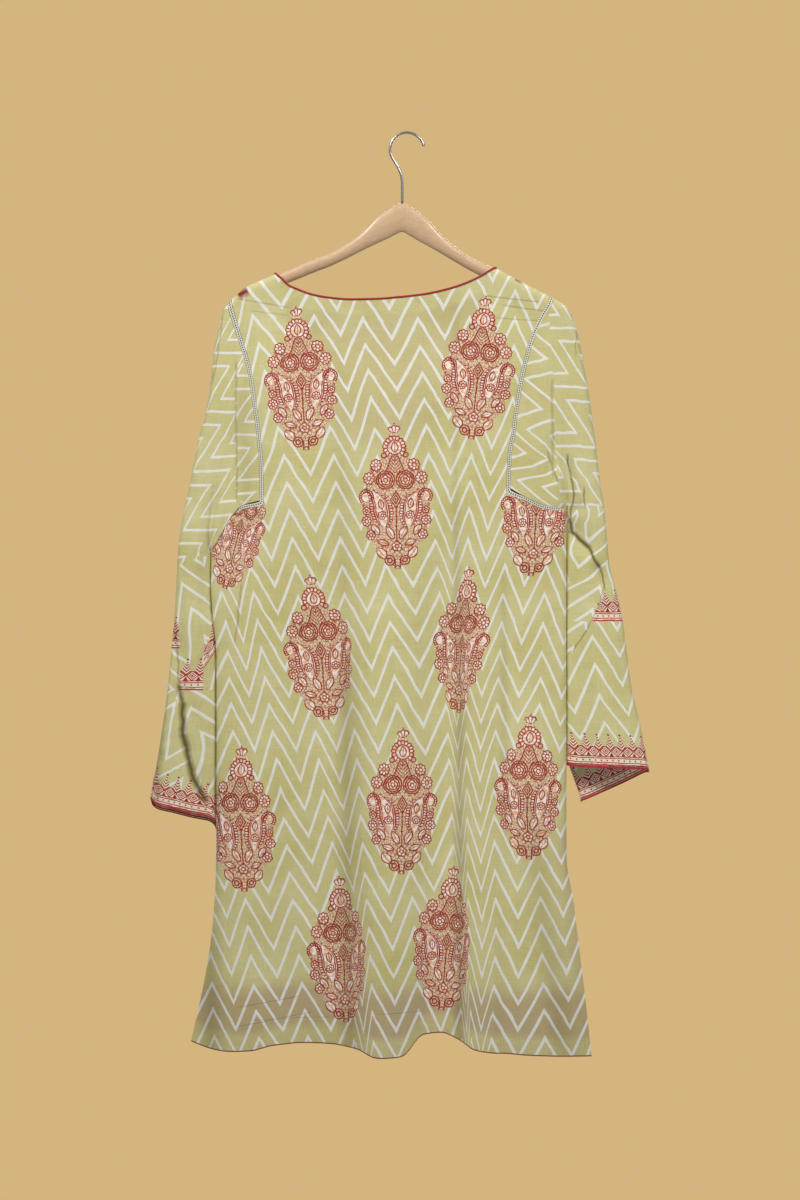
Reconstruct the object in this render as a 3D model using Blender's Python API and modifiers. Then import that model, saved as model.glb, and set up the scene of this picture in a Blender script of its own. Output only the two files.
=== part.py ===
"""Kurta tunic hanging on a wooden wishbone hanger, seen with its back to -Y.

Every size is in millimetres and is scaled to metres when a mesh is made. A place is given
by x, to the right of the hook's crown, and by its drop, straight down from the inside of
that crown, where the hook rests. Half depth is the distance of a cloth wall from the
plane of the hanger: the back of the garment lies on the -Y side of it, the front on the +Y.
"""
import math

import bmesh
import bpy
from mathutils import Vector

MM = 0.001
BACK, FRONT = -1, 1
LEFT, RIGHT = "left", "right"

# Cloth and trims
WALL = 1.2              # cloth wall
SEAM = 0.3              # gap between neighbouring pieces
SLOPED_SEAM = 1.0       # the same gap measured straight down, where the seam slopes
LACE_WALL = 1.0
PIPING_RADIUS = 1.3
BINDING_WIDTH = 3.0     # red binding of the cuffs
EDGING_WIDTH = 1.6      # dark edging of the hems
TURN = 1.2              # flat half width of a turned edge beside its seam
FOLD_RADIUS = 8.0       # roundness of shoulder ridge and sleeve folds
SIDE_RADIUS = 10.0      # roundness of the body's side edges
ARC_IN, ARC_OUT = 0.29, 0.71        # halfway round a quarter circle, as shares of its radius

# Hanger
HOOK_WIRE = 1.7         # wire radius
HOOK_ROUND = 21.25      # centre line radius of the round part
HOOK_START, HOOK_END = 12, 220      # degrees, from the tip over the crown
HOOK_STEPS = 22
CREST_X, CREST_DROP = -6.0, 86.5    # top of the wood, under the hook's stem
# Columns: x, drop of the stem's centre line, from the round part to the wood
HOOK_STEM = [(-12.6, 39), (-9.4, 45.5), (-7.2, 52), (-6.2, 58.5), (CREST_X, 66)]
TILT = 0.045            # fall of the wood per millimetre towards +X
ARM_HALF_THICKNESS = 4.8
ARM_SIDES = 12
ARM_TIP = 178
TAPER_START = 165       # from here to its tip the arm gets thinner,
TIP_THICKNESS = 0.5     # down to this share of its thickness

# Garment lengths, as drops
SLIT_TOP = 872
SLIT_BLEND = 40
FRONT_SLIT_INSET = 18
NECK_FRONT_DEPTH = 215  # front neckline below the shoulder
NECK_KEEP = 0.65        # how nearly straight down the columns below the neck run
NECK_OVER_ARM = 6       # the neck edge clears the hanger's arm within this run
NECK_DEPTH = 13         # its half depth in the middle,
NECK_FILL = 60          # which it reaches within this run
LEVEL_END = 1100        # drop at which the side edges are read for the hem
EASE = 140              # the cloth reaches its full depth this far below the shoulder
ELBOW = {LEFT: 695, RIGHT: 609}
UNDER_ARM_DEPTH = 4.0   # least half depth of the fold between sleeve and body
UNDER_ARM_SPREAD = 0.9  # the same fold's width above the under-arm
GROOVE = 70             # height above the under-arm where the sleeve folds away from the body
EDGE_DEPTH = TURN + SIDE_RADIUS

# Columns: x from the hanger's centre, top and underside of the wood below its crest
HANGER = [
    (0, 0.0, 36), (9, 2.5, 40), (18, 8.5, 45), (32, 19, 52), (49, 37, 61), (67, 52, 71),
    (88, 65, 82), (111, 75, 92), (142, 89.6, 106), (164, 99.9, 116), (172, 104, 119),
    (ARM_TIP, 110, 116),
]
# Columns: drop, left edge x, right edge x
BODY_SIDE = [
    (468, -245, 199), (522, -245, 199), (582, -245, 199), (632, -238, 199), (868, -238, 199),
    (912, -239, 206), (972, -244, 214), (1032, -254, 222), (1100, -269, 230), (1150, -277, 236),
]
SLEEVE_OUTER = [
    (223, -231, 206), (252, -238, 214), (298, -244, 223), (342, -250, 230), (388, -262, 236),
    (432, -270, 241), (478, -280, 248), (522, -286, 251), (560, -288, 257), (582, -289, 265),
    (642, -294, 274), (695, -299, 281), (732, -304, 290), (778, -311, 299), (840, -321, 309),
]
SLEEVE_INNER = [(467, -249, 201.4), (582, -249, 201.4), (632, -243, 201.4), (840, -243, 201.4)]
# Columns: drop, half depth in the middle of the garment
BODY_DEPTH = [(165, 13), (300, 20), (460, 24), (700, 26), (900, 28), (1150, 33)]
# Columns: drop, x of the armhole seam, from the shoulder to the corner of the step
ARMHOLE = {
    LEFT: [(210, -221), (240, -213.5), (270, -204), (302, -195), (338, -190), (374, -185),
           (428, -181), (461, -181)],
    RIGHT: [(204.5, 180), (229, 168), (262, 154), (288, 147), (315, 141), (346, 136), (384, 131),
            (403, 127.5), (446, 126)],
}
# Columns: x, drop, whether the back has lace there; from the corner to the under-arm.
# On the left the sleeve folds over the back seam, and the lace ends under that fold.
STEP = {
    LEFT: [(-181, 461, True), (-204, 467, True), (-218, 478, False), (-235, 507, False),
           (-242, 518, False), (-245, 522, False)],
    RIGHT: [(126, 446, True), (146, 456, True), (168, 466, True), (189, 469, True),
            (196, 468, True), (199, 467.5, True)],
}
LACE_HALF = 1.9
LACE_TUCK = 0.6         # its ends reach this far towards the step's next point
LACE_GAP = 2.4          # half gap between body and sleeve where the lace lies
PLAIN_GAP = 0.5         # and where it doesn't
# Columns: x, drop of the back neckline; its ends lie on the shoulder ridge
NECK_BACK = [
    (-165, 176), (-162.5, 178.5), (-157, 183), (-149, 191), (-136, 197), (-120, 203),
    (-100, 207), (-70, 209.5), (-40, 209), (-8, 206.5), (22, 203), (48, 197.5), (70, 190.5),
    (87, 183), (97, 177.5), (103, 173.6), (108.5, 170.3), (111, 168.6),
]
# Columns: x, drop of the shoulder beyond the hanger's tips
SHOULDER_END = {
    LEFT: [(-231, 222), (-226, 215), (-221, 210), (-216, 203), (-209, 196), (-199, 190.5),
           (-184, 184), (-170, 178)],
    RIGHT: [(158, 192.8), (168, 198), (178, 203.3), (184, 207), (192, 211.5), (199, 216),
            (206, 224)],
}
# Columns: x, drop of the hem
HEM_BACK = [
    (-277, 1130), (-255, 1136), (-225, 1142), (-196, 1141), (-166, 1134), (-126, 1131),
    (-86, 1132), (-66, 1136), (-52, 1147), (-20, 1148), (4, 1142), (16, 1122), (34, 1117),
    (60, 1124), (78, 1138), (104, 1143), (170, 1147), (236, 1150),
]
HEM_FRONT = [
    (-277, 1060), (-210, 1066), (-130, 1058), (-40, 1068), (30, 1062), (110, 1070),
    (236, 1066),
]
# Columns: x and drop of a fold's upper end, x and drop of its lower end, half width, rise
FOLDS = {
    BACK: [
        (-108, 430, -116, 1180, 34, -6), (-68, 380, -60, 1180, 13, -5),
        (-32, 500, -24, 1180, 32, 9), (42, 440, 36, 1180, 28, -10), (68, 440, 76, 1180, 11, -3),
        (126, 480, 128, 1000, 12, -4), (-206, 700, -218, 1180, 36, 5),
        (150, 660, 168, 1180, 42, 5),
    ],
    FRONT: [
        (-150, 430, -166, 1100, 30, -6), (-96, 520, -104, 1100, 26, 7),
        (-30, 460, -38, 1100, 24, -8), (34, 480, 40, 1100, 30, 8), (92, 430, 104, 1100, 22, -7),
        (158, 640, 170, 1100, 34, 6),
    ],
}
FOLD_FADE = 0.35        # share of a fold's length over which it rises at its end
LONG_FOLD = 1000        # folds that reach lower than this run out through the hem
SLEEVE_FOLDS = {
    (LEFT, BACK): [(-286, 610, -278, 740, 9, -3.5), (-278, 740, -256, 840, 9, -3.5)],
    (LEFT, FRONT): [(-262, 600, -284, 800, 12, -3.5)],
    (RIGHT, BACK): [(202, 476, 232, 532, 10, -4), (232, 532, 246, 575, 9, -3.5)],
    (RIGHT, FRONT): [(252, 520, 228, 720, 12, -3.5)],
}
# Drops of the cuff's edge at the inner and the outer fold, and how far the inner corner of
# the far layer is turned outwards
CUFF = {
    (LEFT, BACK): {"inner": 866, "outer": 829, "turn": 0},
    (LEFT, FRONT): {"inner": 873, "outer": 836, "turn": 0},
    (RIGHT, BACK): {"inner": 789, "outer": 797, "turn": 0},
    (RIGHT, FRONT): {"inner": 836, "outer": 799, "turn": 18},
}
CUFF_TURN_HEIGHT = 60

# Grid counts
NECK_COLUMNS = len(NECK_BACK) - 1
SHOULDER_COLUMNS = 3
CENTRE_COLUMNS = NECK_COLUMNS + 2 * SHOULDER_COLUMNS
BEYOND = 6              # columns beyond the corner; the last two turn the edge
UPPER_ROWS = 13         # ridge to step
LOWER_ROWS = 14         # step to hem
ELBOW_ROWS = {LEFT: 5, RIGHT: 4}
CUFF_ROWS = 7
TUBE_COLUMNS = 8        # of each layer of a sleeve, from the inner seam to the outer fold

COLOURS = {
    "cloth": (0.56, 0.53, 0.24, 1), "lace": (0.80, 0.78, 0.68, 1), "trim": (0.42, 0.04, 0.04, 1),
    "wood": (0.60, 0.38, 0.22, 1), "steel": (0.55, 0.55, 0.56, 1),
}


# ---- reading the tables -------------------------------------------------------------

def mix(a, b, t):
    return a + (b - a) * t


def smooth(t):
    t = min(max(t, 0.0), 1.0)
    return t * t * (3 - 2 * t)


def read(table, key, column=1):
    """Value of a column at a key, on a smooth curve through the table's rows."""
    rows = sorted(table)
    if key <= rows[0][0]:
        return rows[0][column]
    if key >= rows[-1][0]:
        return rows[-1][column]
    i = max(k for k in range(len(rows) - 1) if rows[k][0] <= key)

    def slope(k):
        if k in (0, len(rows) - 1):
            return 0.0 if len(rows) > 2 else (rows[1][column] - rows[0][column]) / (
                rows[1][0] - rows[0][0])
        before = (rows[k][column] - rows[k - 1][column]) / (rows[k][0] - rows[k - 1][0])
        after = (rows[k + 1][column] - rows[k][column]) / (rows[k + 1][0] - rows[k][0])
        return 0.0 if before * after <= 0 else 2 * before * after / (before + after)

    span = rows[i + 1][0] - rows[i][0]
    t = (key - rows[i][0]) / span
    value = mix(rows[i][column], rows[i + 1][column], t * t * (3 - 2 * t))
    return value + span * (t * (1 - t) ** 2 * slope(i) - t * t * (1 - t) * slope(i + 1))


def quarter(t):
    """Rise of a quarter circle, 0 to 1, over a run of 0 to 1."""
    t = min(max(t, 0.0), 1.0)
    return math.sqrt(1 - (1 - t) ** 2)


# ---- form of the garment ------------------------------------------------------------

def arm_top(x):
    """Drop of the top of the hanger's wood."""
    across = x - CREST_X
    return CREST_DROP + read(HANGER, abs(across), 1) + TILT * across


def ridge(x):
    """Drop of the shoulder ridge, which rests on the hanger's arms."""
    if x <= SHOULDER_END[LEFT][-1][0]:
        return read(SHOULDER_END[LEFT], x)
    if x >= SHOULDER_END[RIGHT][0][0]:
        return read(SHOULDER_END[RIGHT], x)
    return arm_top(x) - WALL / 2 - SEAM - 0.05


def side_edge(side, drop):
    return read(BODY_SIDE, drop, 1 if side == LEFT else 2)


def crown(x, drop):
    """Half depth of the hanging cloth away from its edges."""
    left, right = side_edge(LEFT, drop), side_edge(RIGHT, drop)
    s = (2 * x - left - right) / (right - left)
    return max(EDGE_DEPTH + (read(BODY_DEPTH, drop) - EDGE_DEPTH) * (1 - s * s), FOLD_RADIUS)


def fold(table, x, drop):
    """Rise of the folds at a place: each is a soft ridge or trough along its line."""
    total = 0.0
    for x0, drop0, x1, drop1, half_width, rise in table:
        line = Vector((x1 - x0, drop1 - drop0))
        along = Vector((x - x0, drop - drop0)).dot(line) / line.length_squared
        inside = smooth(along / FOLD_FADE)
        if drop1 < LONG_FOLD:
            inside *= smooth((1 - along) / FOLD_FADE)
        across = (x - x0 - line.x * along) / half_width
        total += rise * inside * math.exp(-across * across)
    return total


def below_ridge(start, x, drop, below):
    """Half depth in the upper garment: from its depth at the ridge or neck to the crown."""
    return mix(start, crown(x, drop), smooth(below / EASE))


def seam_drops(side):
    """Rows of the armhole seam: the turned ridge, its round, then even steps down."""
    rows = ARMHOLE[side]
    top, corner = rows[0][0], rows[-1][0]
    drops = [top, top, top + ARC_IN * FOLD_RADIUS, top + FOLD_RADIUS]
    left_over = UPPER_ROWS - len(drops) + 1
    drops += [mix(drops[3], corner, (k + 1) / left_over) for k in range(left_over)]
    return drops


# How far below the top edge the first rows lie
FIRST_ROWS = {
    "shoulder": (0, 0, ARC_IN * FOLD_RADIUS, FOLD_RADIUS),
    "neck": (0, 0.15 * FOLD_RADIUS, 0.4 * FOLD_RADIUS, FOLD_RADIUS),
}


def ridge_depth(row):
    """Half depth of the first rows, over the shoulder ridge."""
    return (SEAM / 2, TURN, TURN + ARC_OUT * FOLD_RADIUS, TURN + FOLD_RADIUS)[min(row, 3)]


def has_lace(side, layer, k):
    """Whether lace lies at a point of the step; it ends where the edge turns."""
    return k < BEYOND - 2 and (layer == FRONT or STEP[side][k][2])


def step_gap(side, layer, k):
    """Half gap between body and sleeve at a point of the step."""
    return LACE_GAP if has_lace(side, layer, k) else PLAIN_GAP


def outward(side):
    return -1 if side == LEFT else 1


def seam_place(side, layer, row, reach=0):
    """Place on the armhole seam, or at a reach from it, towards the body if positive."""
    top_drop, top_x = ARMHOLE[side][0]
    drop = seam_drops(side)[row]
    x = read(ARMHOLE[side], drop) - outward(side) * reach
    half_depth = below_ridge(ridge_depth(row), x, drop, drop - top_drop)
    half_depth += fold(FOLDS[layer], x, drop)
    near_top = min(max((6 - row) / 3, 0), 1)
    drop += near_top * (ridge(top_x - outward(side) * reach) - top_drop)
    if row == UPPER_ROWS:
        drop += reach
    return x, drop, half_depth


def step_place(side, k, reach):
    """Place beside the under-arm step, towards the body if the reach is positive."""
    rows = STEP[side]
    k_in, k_out = max(k - 1, 0), min(k + 1, BEYOND - 1)
    across, down = rows[k_out][0] - rows[k_in][0], rows[k_out][1] - rows[k_in][1]
    length = math.copysign(math.hypot(across, down), across)
    x, drop = rows[k][:2]
    return x - reach * down / length, drop + reach * across / length


def step_depth(side, layer, k):
    """Half depth at a point of the under-arm step, where body and sleeve meet."""
    x, drop = STEP[side][min(k, BEYOND - 1)][:2]
    turned = {3: EDGE_DEPTH, 4: TURN + ARC_OUT * SIDE_RADIUS, 5: TURN, 6: SEAM / 2}
    return turned[k] if k in turned else crown(x, drop) + fold(FOLDS[layer], x, drop)


def point(x, half_depth, layer, drop):
    return Vector((x, layer * half_depth, -drop)) * MM


def step_point(side, layer, k, reach):
    x, drop = step_place(side, k, reach)
    return point(x, step_depth(side, layer, k), layer, drop)


# ---- making meshes ------------------------------------------------------------------

def material(name):
    found = bpy.data.materials.get(name)
    if found:
        return found
    made = bpy.data.materials.new(name)
    made.use_nodes = True
    shader = made.node_tree.nodes["Principled BSDF"]
    shader.inputs["Base Color"].default_value = COLOURS[name.split("_")[0]]
    shader.inputs["Roughness"].default_value = 0.3 if name.startswith("steel") else 0.85
    shader.inputs["Metallic"].default_value = 1.0 if name.startswith("steel") else 0.0
    return made


def add_object(name, data, finish):
    made = bpy.data.objects.new(name, data)
    data.materials.append(material(finish + "_" + name))
    collection.objects.link(made)
    return made


def sheet(name, columns, rows, place, finish, wall=WALL, close_ends=False):
    """A grid of quads, placed point by point, then thickened into a wall.

    place(column, row) gives a point, or None where the piece isn't cut."""
    bm = bmesh.new()
    bmesh.ops.create_grid(bm, x_segments=columns, y_segments=rows, size=0.5)
    outside = []
    for vertex in bm.verts:
        column = round((vertex.co.x + 0.5) * columns)
        row = round((0.5 - vertex.co.y) * rows)
        placed = place(column, row)
        if placed is None:
            outside.append(vertex)
        else:
            vertex.co = placed
    bmesh.ops.delete(bm, geom=outside, context="VERTS")
    bmesh.ops.remove_doubles(bm, verts=bm.verts, dist=0.00001)
    if close_ends:
        bmesh.ops.holes_fill(bm, edges=[e for e in bm.edges if e.is_boundary], sides=0)
        bmesh.ops.recalc_face_normals(bm, faces=bm.faces)
    mesh = bpy.data.meshes.new(name)
    bm.to_mesh(mesh)
    bm.free()
    mesh.shade_smooth()
    made = add_object(name, mesh, finish)
    if wall:
        solidify = made.modifiers.new("Wall", "SOLIDIFY")
        solidify.thickness = wall * MM
        solidify.offset = 0
    return made


def tube(name, points, radius, finish, closed=False):
    curve = bpy.data.curves.new(name, "CURVE")
    curve.dimensions = "3D"
    curve.bevel_depth = radius * MM
    curve.bevel_resolution = 2
    curve.use_fill_caps = True
    spline = curve.splines.new("POLY")
    spline.points.add(len(points) - 1)
    for spot, place in zip(spline.points, points):
        spot.co = (*place, 1)
    spline.use_cyclic_u = closed
    return add_object(name, curve, finish)


# ---- body panels --------------------------------------------------------------------

def neck_front_drop(x):
    """The front neckline: a deep scoop between the same two shoulder points."""
    ends = NECK_BACK[0], NECK_BACK[-1]
    across = (x - ends[0][0]) / (ends[1][0] - ends[0][0])
    inside = min(x - ends[0][0], ends[1][0] - x)
    level = mix(ends[0][1], ends[1][1], across) + 0.8 * min(inside, NECK_OVER_ARM)
    scoop = (1 - abs(2 * across - 1) ** 2.6) ** 0.8
    return level + NECK_FRONT_DEPTH * scoop * smooth((inside - 1) / (4 * NECK_OVER_ARM))


def neck_depth(x_top, x, drop):
    """Half depth below the neck edge: round the hanger's arms, then a little fuller."""
    inside = min(x_top - NECK_BACK[0][0], NECK_BACK[-1][0] - x_top)
    over_arm = TURN + FOLD_RADIUS * quarter((drop - ridge(x)) / FOLD_RADIUS)
    return mix(over_arm, NECK_DEPTH, smooth((inside - NECK_OVER_ARM) / NECK_FILL))


def make_top_edge():
    """The body's top edge: x, back drop, front drop, and which part of the edge it is."""
    neck_ends = NECK_BACK[0][0], NECK_BACK[-1][0]
    seam_left = ARMHOLE[LEFT][0][1] + LACE_GAP
    seam_right = ARMHOLE[RIGHT][0][1] - LACE_GAP
    places = [(seam_left, ridge(seam_left), ridge(seam_left), "shoulder")]
    for k in range(1, SHOULDER_COLUMNS):
        x = mix(seam_left, neck_ends[0], k / SHOULDER_COLUMNS)
        places.append((x, ridge(x), ridge(x), "shoulder"))
    for x, drop in NECK_BACK:
        if x in neck_ends:
            places.append((x, ridge(x), ridge(x), "shoulder"))
        else:
            places.append((x, drop, neck_front_drop(x), "neck"))
    for k in range(1, SHOULDER_COLUMNS):
        x = mix(neck_ends[1], seam_right, k / SHOULDER_COLUMNS)
        places.append((x, ridge(x), ridge(x), "shoulder"))
    return places + [(seam_right, ridge(seam_right), ridge(seam_right), "shoulder")]


TOP_EDGE = make_top_edge()


def slit_blend(drop):
    return smooth((drop - SLIT_TOP) / SLIT_BLEND)


def panel_edge(side, layer, drop):
    """Side edge of a panel; the front is narrower than the back along the slits."""
    inset = FRONT_SLIT_INSET * slit_blend(drop) if layer == FRONT else 0
    return side_edge(side, drop) - outward(side) * inset


def side_offsets(drop):
    """Distance in from the side edge, and half depth, of the columns that turn the edge."""
    g = slit_blend(drop)
    turned = ((0, SEAM / 2), (0, TURN), (ARC_IN * SIDE_RADIUS, TURN + ARC_OUT * SIDE_RADIUS),
              (SIDE_RADIUS, EDGE_DEPTH))
    hanging = ((0, EDGE_DEPTH - 3), (1.5, EDGE_DEPTH - 2.7), (4.5, EDGE_DEPTH - 1.8),
               (SIDE_RADIUS, EDGE_DEPTH))
    return [(mix(a, c, g), mix(b, d, g)) for (a, b), (c, d) in zip(turned, hanging)]


def hem_drop(layer, x):
    return read(HEM_BACK if layer == BACK else HEM_FRONT, x)


def centre_place(layer, column, row):
    """Place between the two armholes and straight below: x, drop and half depth."""
    x_top, back_drop, front_drop, part = TOP_EDGE[column]
    drop_top = back_drop if layer == BACK else front_drop
    across = column / CENTRE_COLUMNS
    corner = [STEP[side][0] for side in (LEFT, RIGHT)]
    gap = LACE_GAP
    drop_step = mix(corner[0][1], corner[1][1], across) + gap
    x_even = mix(corner[0][0] + gap, corner[1][0] - gap, across)
    in_shoulder = min(min(column, CENTRE_COLUMNS - column) / SHOULDER_COLUMNS, 1)
    x_step = mix(x_even, x_top, NECK_KEEP * in_shoulder)
    if row > UPPER_ROWS:
        edges = [side_edge(side, drop_step) for side in (LEFT, RIGHT)]
        f = (x_step - edges[0]) / (edges[1] - edges[0])
        u = (row - UPPER_ROWS) / LOWER_ROWS
        level = mix(drop_step, LEVEL_END, u)
        x = mix(panel_edge(LEFT, layer, level), panel_edge(RIGHT, layer, level), f)
        drop = mix(drop_step, hem_drop(layer, x), u)
        return x, drop, crown(x, drop) + fold(FOLDS[layer], x, drop)
    left, right = seam_place(LEFT, layer, row, gap), seam_place(RIGHT, layer, row, gap)
    if column == 0:
        return left
    if column == CENTRE_COLUMNS:
        return right
    first = FIRST_ROWS[part]
    last = len(first) - 1
    below = first[row] if row <= last else mix(
        first[last], drop_step - drop_top, (row - last) / (UPPER_ROWS - last))
    f_top = (x_top - TOP_EDGE[0][0]) / (TOP_EDGE[-1][0] - TOP_EDGE[0][0])
    t = smooth(below / (drop_step - drop_top))
    f_step = (x_step - corner[0][0] - gap) / (corner[1][0] - corner[0][0] - 2 * gap)
    beside_seam = mix(left[0], right[0], mix(f_top, f_step, t))
    own = mix(x_top, x_step, t)
    x = mix(beside_seam, own, in_shoulder)
    drop = drop_top + below
    start = ridge_depth(row) if part == "shoulder" else neck_depth(x_top, x, drop)
    return x, drop, below_ridge(start, x, drop, below) + fold(FOLDS[layer], x, drop)


def under_arm_place(layer, side, beyond, row):
    """Place beyond the armhole's corner, out to the turned side edge."""
    k = min(beyond, BEYOND - 1)
    step_x, step_drop = step_place(side, k, step_gap(side, layer, k))
    if row == UPPER_ROWS:
        return step_x, step_drop, step_depth(side, layer, beyond)
    u = (row - UPPER_ROWS) / LOWER_ROWS
    level = mix(step_drop, LEVEL_END, u)
    edge = panel_edge(side, layer, level)
    turning = BEYOND - beyond
    if turning > 3:
        corner_x = STEP[side][0][0]
        f = (step_x - corner_x) / (STEP[side][3][0] - corner_x)
        inner_x = centre_place(layer, 0 if side == LEFT else CENTRE_COLUMNS, row)[0]
        x = mix(inner_x, edge - outward(side) * SIDE_RADIUS, f)
        drop = mix(step_drop, hem_drop(layer, x), u)
        return x, drop, crown(x, drop) + fold(FOLDS[layer], x, drop)
    off, half_depth = side_offsets(level)[turning]
    x = edge - outward(side) * off
    drop = mix(step_drop, hem_drop(layer, x), u)
    hanging = slit_blend(drop) if turning < 3 else 1
    return x, drop, half_depth + hanging * fold(FOLDS[layer], x, drop) / 2


def body_place(layer, column, row):
    """Place on the back or front panel, or None above the under-arm step."""
    column -= BEYOND
    if 0 <= column <= CENTRE_COLUMNS:
        return centre_place(layer, column, row)
    if row < UPPER_ROWS:
        return None
    if column < 0:
        return under_arm_place(layer, LEFT, -column, row)
    return under_arm_place(layer, RIGHT, column - CENTRE_COLUMNS, row)


def as_point(layer, place, lower=0):
    if place is None:
        return None
    x, drop, half_depth = place
    return point(x, half_depth, layer, drop + lower)


def make_body():
    columns = CENTRE_COLUMNS + 2 * BEYOND
    rows = UPPER_ROWS + LOWER_ROWS
    for name, layer in (("back", BACK), ("front", FRONT)):
        sheet(name, columns, rows,
              lambda c, r, layer=layer: as_point(layer, body_place(layer, c, r)), "cloth")
        sheet("hem_edging_" + name, columns, 1,
              lambda c, r, layer=layer: as_point(layer, body_place(layer, c, rows),
                                                 SEAM + r * EDGING_WIDTH), "trim")


# ---- sleeves ------------------------------------------------------------------------

def tube_place(side, b, drop):
    """Place across the sleeve's tube, from its inner seam (b = 0) to its outer fold."""
    column = 1 if side == LEFT else 2
    inner, outer = read(SLEEVE_INNER, drop, column), read(SLEEVE_OUTER, drop, column)
    width, r, edge = abs(outer - inner), FOLD_RADIUS, TURN + FOLD_RADIUS
    third = (width - 2 * r) / 3
    across = ((0, SEAM / 2), (0, TURN), (ARC_IN * r, TURN + ARC_OUT * r), (r, edge),
              (r + third, edge + 3), (r + 2 * third, edge + 3), (width - r, edge),
              (width - ARC_IN * r, ARC_OUT * edge), (width, 0))
    off, half_depth = across[b]
    return inner + outward(side) * off, half_depth


def tube_fold(side, layer, b, x, drop):
    inside = 0 if b in (0, 1, TUBE_COLUMNS) else 1
    return inside * fold(SLEEVE_FOLDS[side, layer], x, drop)


def split_column(column, per_layer):
    """A column counted round the sleeve, as its layer and its count from the inner seam."""
    if column <= per_layer:
        return BACK, column
    return FRONT, 2 * per_layer - column


def upper_sleeve_place(side, column, row):
    """Place on the upper sleeve, or None past the under-arm in the rows below it."""
    layer, k = split_column(column, BEYOND + TUBE_COLUMNS)
    b = k - BEYOND
    under_arm = STEP[side][-1][1] - LACE_GAP
    if row > UPPER_ROWS:
        if b < 0:
            return None
        u = (row - UPPER_ROWS) / ELBOW_ROWS[side]
        drop = mix(under_arm, ELBOW[side] - SEAM / 2, u)
        x, half_depth = tube_place(side, b, drop)
        return x, drop, layer * (half_depth + tube_fold(side, layer, b, x, drop))
    seam = seam_place(side, layer, row, -LACE_GAP)
    if k == 0:
        return seam[0], seam[1], 0 if row == 0 else layer * seam[2]
    sign = outward(side)
    share = k / (BEYOND + TUBE_COLUMNS)
    # the step's row, which the rows above it lead to
    if b < 0:
        step_x, step_drop = step_place(side, k, -step_gap(side, layer, k))
        step_half = step_depth(side, layer, k)
    else:
        step_x, step_half = tube_place(side, b, under_arm)
        step_drop = under_arm
        step_half += tube_fold(side, layer, b, step_x, under_arm)
    step_half = max(step_half, UNDER_ARM_DEPTH + (UNDER_ARM_SPREAD / 2 if b == 1 else 0))
    if row == UPPER_ROWS:
        return step_x, step_drop, layer * (step_half if b < TUBE_COLUMNS else 0)
    if b == 1:
        step_x += sign * UNDER_ARM_SPREAD
    corner_x = STEP[side][0][0] + sign * LACE_GAP
    outer_x = read(SLEEVE_OUTER, step_drop, 1 if side == LEFT else 2)
    f = mix(share, (step_x - corner_x) / (outer_x - corner_x), smooth(row / UPPER_ROWS))
    # the ridge above this column
    outer_top = max(SHOULDER_END[side], key=lambda place: sign * place[0])[0]
    drop_top = ridge(mix(ARMHOLE[side][0][1] + sign * LACE_GAP, outer_top, share))
    first = FIRST_ROWS["shoulder"]
    last = len(first) - 1
    drop = drop_top + first[row] if row <= last else mix(
        drop_top + first[last], step_drop, (row - last) / (UPPER_ROWS - last))
    outer = read(SLEEVE_OUTER, drop, 1 if side == LEFT else 2)
    x = mix(seam[0], outer, f)
    round_off = min(FOLD_RADIUS, 0.8 * abs(outer - seam[0]))
    half_depth = below_ridge(ridge_depth(row), x, drop, drop - drop_top)
    half_depth *= quarter(abs(outer - x) / round_off)
    above = (UPPER_ROWS - row) * (STEP[side][0][1] - ARMHOLE[side][0][0]) / UPPER_ROWS
    half_depth = mix(half_depth, step_half, smooth(1 - above / GROOVE))
    if row == 0 or b == TUBE_COLUMNS:
        half_depth = 0
    return x, drop, layer * half_depth


def lower_sleeve_place(side, column, row, lower=0):
    layer, b = split_column(column, TUBE_COLUMNS)
    top = ELBOW[side] + SEAM / 2
    cuff = CUFF[side, layer]
    across = min(max((b - 1) / (TUBE_COLUMNS - 1), 0), 1)
    outer_end = (CUFF[side, BACK]["outer"] + CUFF[side, FRONT]["outer"]) / 2
    end = mix(cuff["inner"], outer_end if b == TUBE_COLUMNS else cuff["outer"], across)
    end -= BINDING_WIDTH + SLOPED_SEAM
    drop = mix(top, end, row / CUFF_ROWS)
    x, half_depth = tube_place(side, b, drop)
    turn = cuff["turn"] * smooth(1 - (end - drop) / CUFF_TURN_HEIGHT)
    x += outward(side) * turn * (1 - across)
    half_depth += tube_fold(side, layer, b, x, drop)
    return x, drop + lower, layer * half_depth


def make_sleeves():
    for side in (LEFT, RIGHT):
        sheet("sleeve_upper_" + side, 2 * (BEYOND + TUBE_COLUMNS), UPPER_ROWS + ELBOW_ROWS[side],
              lambda c, r, side=side: as_point(1, upper_sleeve_place(side, c, r)), "cloth")
        sheet("sleeve_lower_" + side, 2 * TUBE_COLUMNS, CUFF_ROWS,
              lambda c, r, side=side: as_point(1, lower_sleeve_place(side, c, r)), "cloth")
        sheet("cuff_binding_" + side, 2 * TUBE_COLUMNS, 1,
              lambda c, r, side=side: as_point(1, lower_sleeve_place(
                  side, c, CUFF_ROWS, SLOPED_SEAM + r * BINDING_WIDTH)), "trim")


# ---- lace and neck piping -----------------------------------------------------------

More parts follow.
